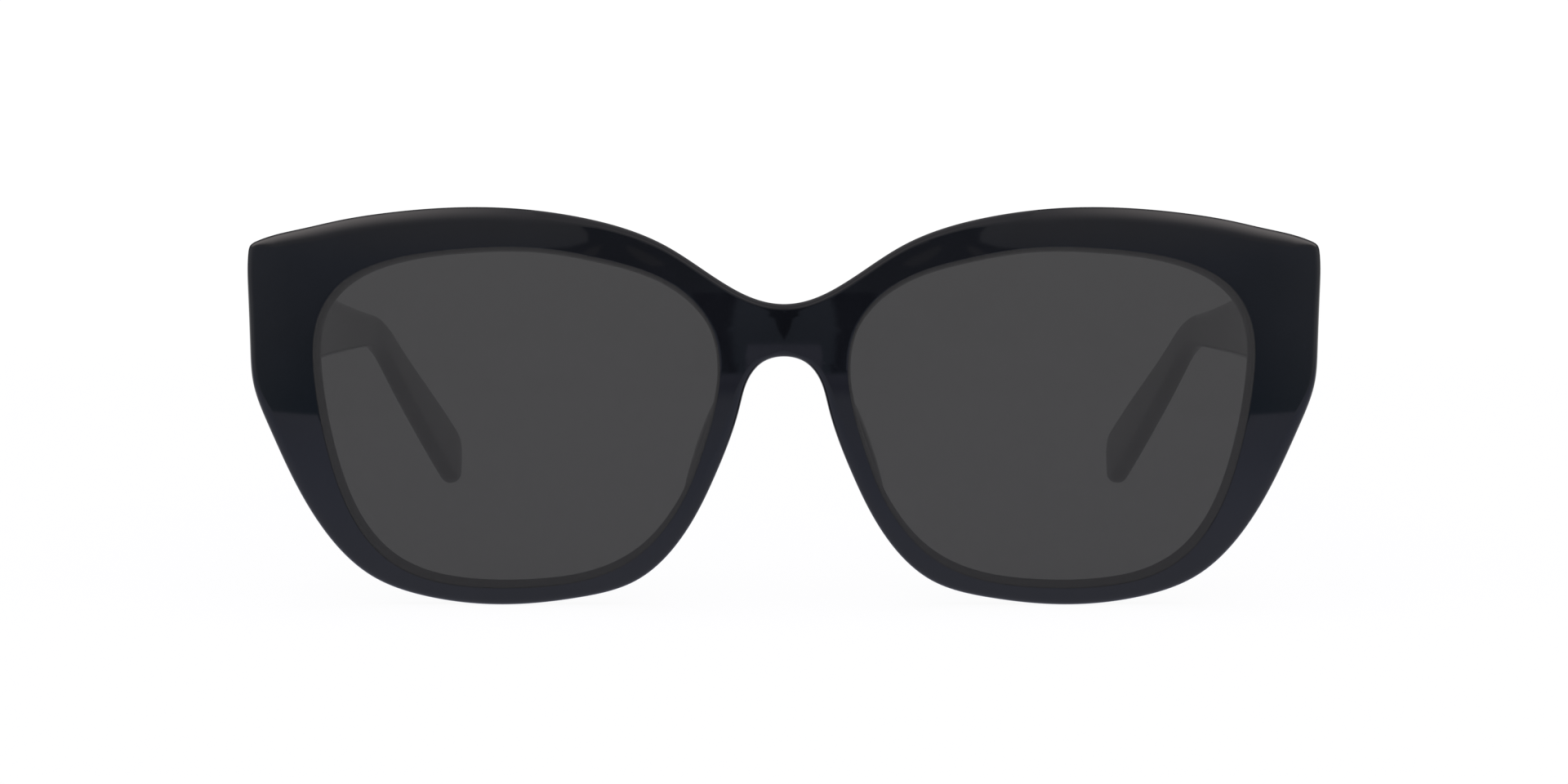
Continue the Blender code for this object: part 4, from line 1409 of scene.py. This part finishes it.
def carve(item: bpy.types.Object, box: Box, sharp: float) -> None:
    """Cuts a box out of a piece for good.

    Args:
        item: the piece.
        box: lowest and highest corner of the box.
        sharp: angle in degrees above which an edge of the piece is shaded sharp.
    """
    x, y, z = np.meshgrid(*zip(*box, strict=True), indexing="ij")
    corners = np.stack([x.ravel(), y.ravel(), z.ravel()], axis=1)
    quads = [(0, 1, 3, 2), (4, 6, 7, 5), (0, 4, 5, 1), (2, 3, 7, 6), (0, 2, 6, 4), (1, 5, 7, 3)]
    cutter = Shell(corners, [np.array(quads)]).piece("cutter")
    modifier = item.modifiers.new("cut", "BOOLEAN")
    modifier.operation = "DIFFERENCE"
    modifier.object = cutter
    graph = bpy.context.evaluated_depsgraph_get()
    mesh = bpy.data.meshes.new_from_object(item.evaluated_get(graph))
    item.modifiers.clear()
    item.data = mesh
    mesh.shade_smooth()
    mesh.set_sharp_from_angle(angle=math.radians(sharp))
    bpy.data.objects.remove(cutter)


# ---------------------------------------------------------------- table, lamps and camera


@dataclass(frozen=True)
class Lamp:
    """A soft rectangular lamp aimed at a point."""

    name: str
    place: Triple
    aim: Triple
    size: Span
    power: float

    def hang(self) -> None:
        """Adds the lamp to the scene, out of sight of reflections."""
        data = bpy.data.lights.new(self.name, "AREA")
        data.shape = "RECTANGLE"
        data.size, data.size_y = self.size
        data.energy = self.power
        item = bpy.data.objects.new(self.name, data)
        item.location = self.place
        item.rotation_euler = (Vector(self.aim) - Vector(self.place)).to_track_quat("-Z", "Y").to_euler()
        item.visible_glossy = False
        bpy.context.scene.collection.objects.link(item)


@dataclass(frozen=True)
class Card:
    """A painted reflection: a glowing card, upright before the sunglasses or level above, that only
    reflections see.

    The outline is that of the left half, in millimetres sideways and up, or sideways and forward if the
    card is level. It counts from between the eyes, on the line of the face's peaks, and so does the
    distance. A joined card runs on over the middle into its mirror image; the others hang in pairs.
    """

    name: str
    outline: tuple[Corner, ...]
    colour: Colour
    distance: float = 200 * MM
    joined: bool = False
    level: bool = False

    def hang(self, face: Face) -> None:
        """Adds the card, or the pair.

        Args:
            face: the face of the sunglasses that the card hangs before.
        """
        left = np.array(self.outline) * MM
        right = left[::-1] * [-1, 1]
        if self.joined:
            self._add(self.name, np.concatenate([left, right[right[:, 0] < 0]]), face)
        else:
            self._add(f"{self.name}_left", left, face)
            self._add(f"{self.name}_right", right, face)

    def _add(self, name: str, flat: Array, face: Face) -> None:
        """Adds one flat card.

        Args:
            name: name of the card and of its material.
            flat: (n, 2) corners, in metres.
            face: the face of the sunglasses that the card hangs before.
        """
        away = np.full(len(flat), self.distance)
        forward, up = (flat[:, 1], away) if self.level else (away, flat[:, 1])
        points = np.stack([flat[:, 0], face.peak_y - forward, face.eye_z + up], axis=1)
        item = Shell(points, [np.arange(len(flat))[None]]).piece(name)
        # Painted reflection: only glossy rays see the card, so it lights nothing, casts no shadow and shows
        # only in reflections.
        item.visible_camera = item.visible_diffuse = item.visible_transmission = item.visible_shadow = False
        material = bpy.data.materials.new(name)
        graph = Graph(material)
        graph.surface(graph.glow((*self.colour, 1.0)))
        item.data.materials.append(material)


@dataclass(frozen=True)
class Table:
    """White table top at z = 0 that ends before the sunglasses.

    The camera sees it as white, but for shadows, and whiter with the distance. Reflections see a painted
    reflection instead of the lit top: a glow without shadows that pales from its front edge to the back.
    """

    ends: float = -304 * MM
    length: float = 9.0
    colour: Colour = (0.50, 0.51, 0.59)
    colour_swing: float = 1.03
    grain: float = 30.0
    white: float = 1.04
    whitening: float = 0.90
    whiter_over: Span = (0.2, 0.8)
    sheen_starts: float = -0.30
    sheen_length: float = 0.5
    sheen: tuple[Stop, ...] = (
        (0.00, (0.43, 0.45, 0.55)),
        (0.28, (0.43, 0.46, 0.60)),
        (0.38, (0.50, 0.53, 0.68)),
        (0.46, (0.56, 0.58, 0.70)),
        (0.54, (0.72, 0.73, 0.80)),
        (0.64, (0.85, 0.85, 0.88)),
        (1.00, (1.00, 1.00, 1.00)),
    )

    def build(self) -> None:
        """Adds the table top with its material."""
        x = np.array([-self.length / 2, self.length / 2])
        y = np.array([self.ends, self.length])
        corners = np.stack([*(axis.ravel() for axis in np.meshgrid(x, y)), np.zeros(4)], axis=1)
        top = Shell(corners, [np.array([(0, 1, 3, 2)])]).piece("table_top")
        material = bpy.data.materials.new("white table")
        graph = Graph(material)
        pale = tuple(self.colour_swing * part for part in self.colour)
        colour = graph.ramp(graph.noise(self.grain, 3.0), (0.0, self.colour), (1.0, pale))
        matt = graph.node("ShaderNodeBsdfDiffuse", {}, {"Color": colour})
        white = graph.glow((1.0, 1.0, 1.0, 1.0), self.white)
        reach = graph.node("ShaderNodeSeparateXYZ", {}, {"Vector": graph.place()}, "Y")
        far = abs(reach).rise(*self.whiter_over)
        seen = graph.mix(graph.ray("Camera") * (self.whitening + (1 - self.whitening) * far), matt, white)
        # Painted reflection: glossy rays see a glow that pales towards the back, not the lit and shadowed
        # top.
        sheen = graph.ramp((reach - self.sheen_starts) * (1 / self.sheen_length), *self.sheen)
        graph.surface(graph.mix(graph.ray("Glossy"), seen, graph.glow(sheen)))
        top.data.materials.append(material)


@dataclass(frozen=True)
class Room:
    """World: white behind the sunglasses and where the camera sees it, and a soft room before them.

    The room is a dome that brightens upwards, with a soft warm glow high on either side, paler walls
    beside it and a shaded part overhead and behind. Low down it turns into a hazy floor, whose horizon
    drops towards the sides. Spans of heights, sides and depths are those of a direction's z, x and y.
    """

    dome: tuple[Stop, ...] = (
        (0.46, (0.10, 0.15, 0.20)),
        (0.54, (0.18, 0.21, 0.26)),
        (0.61, (0.24, 0.27, 0.33)),
        (0.655, (0.36, 0.36, 0.38)),
        (0.727, (0.40, 0.40, 0.42)),
        (0.787, (0.46, 0.45, 0.47)),
        (0.894, (0.63, 0.60, 0.63)),
        (0.980, (0.74, 0.71, 0.73)),
    )
    warm: Colour = (4.6, 4.28, 4.14)
    warm_heights: Span = (0.35, 0.98)
    horizon: float = 0.060
    horizon_drops: tuple[tuple[float, Span], ...] = ((0.066, (0.142, 0.158)), (0.13, (0.25, 0.42)))
    horizon_blur: Span = (0.004, 0.006)
    haze: tuple[Stop, ...] = (
        (0.10, (0.41, 0.43, 0.54)),
        (0.24, (0.42, 0.44, 0.54)),
        (0.36, (0.22, 0.23, 0.32)),
        (0.60, (0.36, 0.37, 0.48)),
    )
    haze_height: float = 0.25
    haze_depths: Span = (0.0, 0.05)
    walls: float = 0.8
    wall_colour: Colour = (0.72, 0.73, 0.77)
    wall_sides: Span = (0.45, 0.90)
    wall_heights: Span = (0.25, 0.50)
    shade: float = 0.85
    shade_colour: Colour = (0.12, 0.12, 0.13)
    shade_depths: Span = (-0.05, 0.50)
    white_depths: Span = (0.80, 0.93)
    white_heights: Span = (0.15, 0.30)
    before_starts: Span = (0.0, 0.0001)
    least_depth: float = 0.001

    def build(self) -> None:
        """Sets the world up.

        Sideways and up are a direction's x and z over its -y, so that they run straight on an upright
        screen before the sunglasses.
        """
        world = bpy.data.worlds.new("studio room")
        bpy.context.scene.world = world
        graph = Graph(world)
        toward = graph.node("ShaderNodeTexCoord", {}, {}, "Generated")
        x, y, z = (graph.node("ShaderNodeSeparateXYZ", {}, {"Vector": toward}, axis) for axis in "XYZ")
        before = 0.0 - y
        depth = before.rise(*self.before_starts) * before + self.least_depth
        side, up = abs(x) / depth, z / depth
        warmth = abs(x) * z.rise(*self.warm_heights)
        lit = graph.blend(warmth, graph.ramp(z * 0.5 + 0.5, *self.dome), self.warm)
        horizon = self.horizon
        for drop, sides in self.horizon_drops:
            horizon = horizon - drop * side.rise(*sides)
        low = 1 - up.rise(horizon - self.horizon_blur[0], horizon + self.horizon_blur[1])
        haze = graph.ramp(up * (1 / self.haze_height) + 0.5, *self.haze)
        floor = graph.blend(low * before.rise(*self.haze_depths), lit, haze)
        walls = self.walls * abs(x).rise(*self.wall_sides) * (1 - z.rise(*self.wall_heights))
        walled = graph.blend(walls, floor, self.wall_colour)
        shaded = graph.blend(self.shade * y.rise(*self.shade_depths), walled, self.shade_colour)
        behind = y.rise(*self.white_depths) * (1 - z.rise(*self.white_heights))
        seen = graph.ray("Camera") + (graph.ray("Glossy") + graph.ray("Transmission")) * behind
        colour = graph.blend(seen, shaded, (1.0, 1.0, 1.0))
        graph.surface(graph.node("ShaderNodeBackground", {}, {"Color": colour, "Strength": 1.0}))


@dataclass(frozen=True)
class Viewpoint:
    """Long lens, a little above the sunglasses and square to them."""

    pitch: float = math.radians(5.45)
    distance: float = 600.0 * MM
    aim_behind_peak: float = 2.0 * MM
    aim_above_eyes: float = 3.44 * MM
    sensor_width: float = 36.0
    focal_length: float = 105.56
    clip: Span = (0.01, 100.0)

    def build(self, face: Face) -> None:
        """Adds the camera.

        Args:
            face: the face of the sunglasses that it looks at.
        """
        aim = Vector((0.0, face.peak_y + self.aim_behind_peak, face.eye_z + self.aim_above_eyes))
        data = bpy.data.cameras.new("camera")
        data.sensor_width = self.sensor_width
        data.lens = self.focal_length
        data.clip_start, data.clip_end = self.clip
        item = bpy.data.objects.new("camera", data)
        item.location = aim - self.distance * Vector((0.0, math.cos(self.pitch), -math.sin(self.pitch)))
        item.rotation_euler = (math.pi / 2 - self.pitch, 0.0, 0.0)
        bpy.context.scene.collection.objects.link(item)
        bpy.context.scene.camera = item


@dataclass(frozen=True)
class Studio:
    """Everything around the sunglasses: table, room, soft lamps, cards that paint reflections, and camera."""

    table: Table = Table()
    room: Room = Room()
    viewpoint: Viewpoint = Viewpoint()
    lamps: tuple[Lamp, ...] = (
        Lamp("overhead", (0.0, 0.25, 1.3), (0.0, 0.0, 0.0), (0.9, 0.7), 4.0),
        Lamp("front", (0.0, -1.3, 0.40), (0.0, 0.0, 0.02), (1.2, 0.9), 8.0),
        Lamp("side_left", (0.66, -1.20, 0.72), (0.05, -0.05, 0.02), (0.45, 0.35), 0.3),
        Lamp("side_right", (-0.66, -1.20, 0.72), (-0.05, -0.05, 0.02), (0.45, 0.35), 0.3),
    )
    # Painted reflections: each card is a dim glowing sheet that only reflections see, and it paints a flat
    # patch of its own colour into the reflections on the acetate.
    cards: tuple[Card, ...] = (
        Card(
            "canopy",
            ((34, 52), (34, 78), (22, 79), (12.5, 82), (12.7, 86.9), (15.7, 90.4), (17, 94)),
            (0.10, 0.11, 0.13),
            joined=True,
        ),
        Card(
            "strut",
            (
                (29.5, 52), (30.2, 42), (30.2, 37), (29.7, 23), (29.2, 12), (29.1, 5.3),
                (31.5, 5.3), (32.1, 18), (34, 24), (34, 52),
            ),
            (0.02, 0.022, 0.03),
        ),
        Card(
            "lens_hood",
            ((0, 24.4), (3, 26.5), (6.3, 30.7), (8.5, 36), (12.6, 41), (19, 44.5), (19, 53)),
            (0.03, 0.035, 0.04),
            joined=True,
        ),
        Card(
            "spot",
            ((5.8, 80), (11.4, 77.8), (18.3, 73), (22.5, 68.2), (18.1, 67), (11.3, 71.5), (6.9, 76.3)),
            (0.20, 0.20, 0.21),
            distance=199 * MM,
        ),
        Card("shade", ((32, -60), (32, 40)), (0.60, 0.58, 0.60), 62 * MM, joined=True, level=True),
    )

    def build(self, face: Face) -> None:
        """Sets up everything that isn't part of the sunglasses.

        Args:
            face: the face of the sunglasses that the cards and the camera are set up on.
        """
        bpy.context.scene.view_settings.view_transform = "Standard"
        self.table.build()
        self.room.build()
        for lamp in self.lamps:
            lamp.hang()
        for card in self.cards:
            card.hang(face)
        self.viewpoint.build(face)


# ---------------------------------------------------------------- assembly


@dataclass
class Sunglasses:
    """All pieces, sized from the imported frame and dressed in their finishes."""

    frame: dict[str, Any]
    finishes: Finishes
    outline: Outline = field(default_factory=Outline)
    lens_setback: float = 0.3 * MM
    temple_step: float = 1.5 * MM
    pocket_overrun: float = 2 * MM

    def stand_in(self, item: bpy.types.Object, body: str, slot: Slot, *nodes: str) -> None:
        """Dresses a piece, lets it ride on its body and stand for its nodes.

        Args:
            item: the piece.
            body: the body that it moves with.
            slot: the finish that it gets.
            nodes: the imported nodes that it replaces.
        """
        self.finishes.dress(item, slot)
        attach(item, body)
        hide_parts(*nodes)
        LOG.info("%s: %d faces, stands for %s", item.name, len(item.data.polygons), ", ".join(nodes))

    def axis(self) -> Vector:
        """Place of the left hinge."""
        joint = next(joint for joint in self.frame["joints"] if joint["name"] == "left_fold")
        return Vector(joint["pos_m"])

    def build(self) -> Face:
        """Builds every piece, one side after the other, with the hinges sunk in front and temples.

        Returns:
            The face, which the camera is set up on.
        """
        low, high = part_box("lens_left")
        face = Face(self.outline.eye_x, low.y - self.lens_setback, (low.z + high.z) / 2)
        axis = self.axis()
        hinge = Hinge(axis)
        temple = Temple(self.outline.end_x - self.temple_step, axis)
        front = Front(self.outline, face, axis.y - hinge.to_front_plate, axis.z, temple.butt_height)
        acetate = front.build()
        pockets = np.array(hinge.plates(hinge.seat_clearance, self.pocket_overrun)) + np.array(axis)
        for side in Side:
            seat, recess = ((ends.min(axis=0), ends.max(axis=0)) for ends in pockets * [side.value, 1, 1])
            carve(acetate, seat, sharp=50.0)
            arm = temple.build(side)
            carve(arm, recess, sharp=40.0)
            word = side.word
            body = f"{word}_temple"
            self.stand_in(arm, body, Slot.ACETATE, f"temple_{word}")
            self.stand_in(hinge.half(side, front=False), body, Slot.HINGE, f"temple_hinge_{word}")
            self.stand_in(hinge.half(side, front=True), "front", Slot.HINGE, f"front_hinge_{word}")
            self.stand_in(hinge.screw(side), "front", Slot.SCREW, f"hinge_screw_{word}")
            self.stand_in(Lens(front).build(side), "front", Slot.LENS, f"lens_{word}")
            self.stand_in(NosePad(front).build(side), "front", Slot.PAD, f"nose_pad_{word}")
            self.finishes.dress(self.frame["nodes"][f"core_wire_{word}"], Slot.WIRE)
        self.stand_in(acetate, "front", Slot.ACETATE, "front_frame")
        return face


def main() -> None:
    """Loads the frame, builds the sunglasses and the studio."""
    logging.basicConfig(level=logging.INFO, format="%(message)s")
    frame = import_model()
    sunglasses = Sunglasses(frame, Finishes())
    face = sunglasses.build()
    Studio().build(face)


if __name__ == "__main__":
    main()
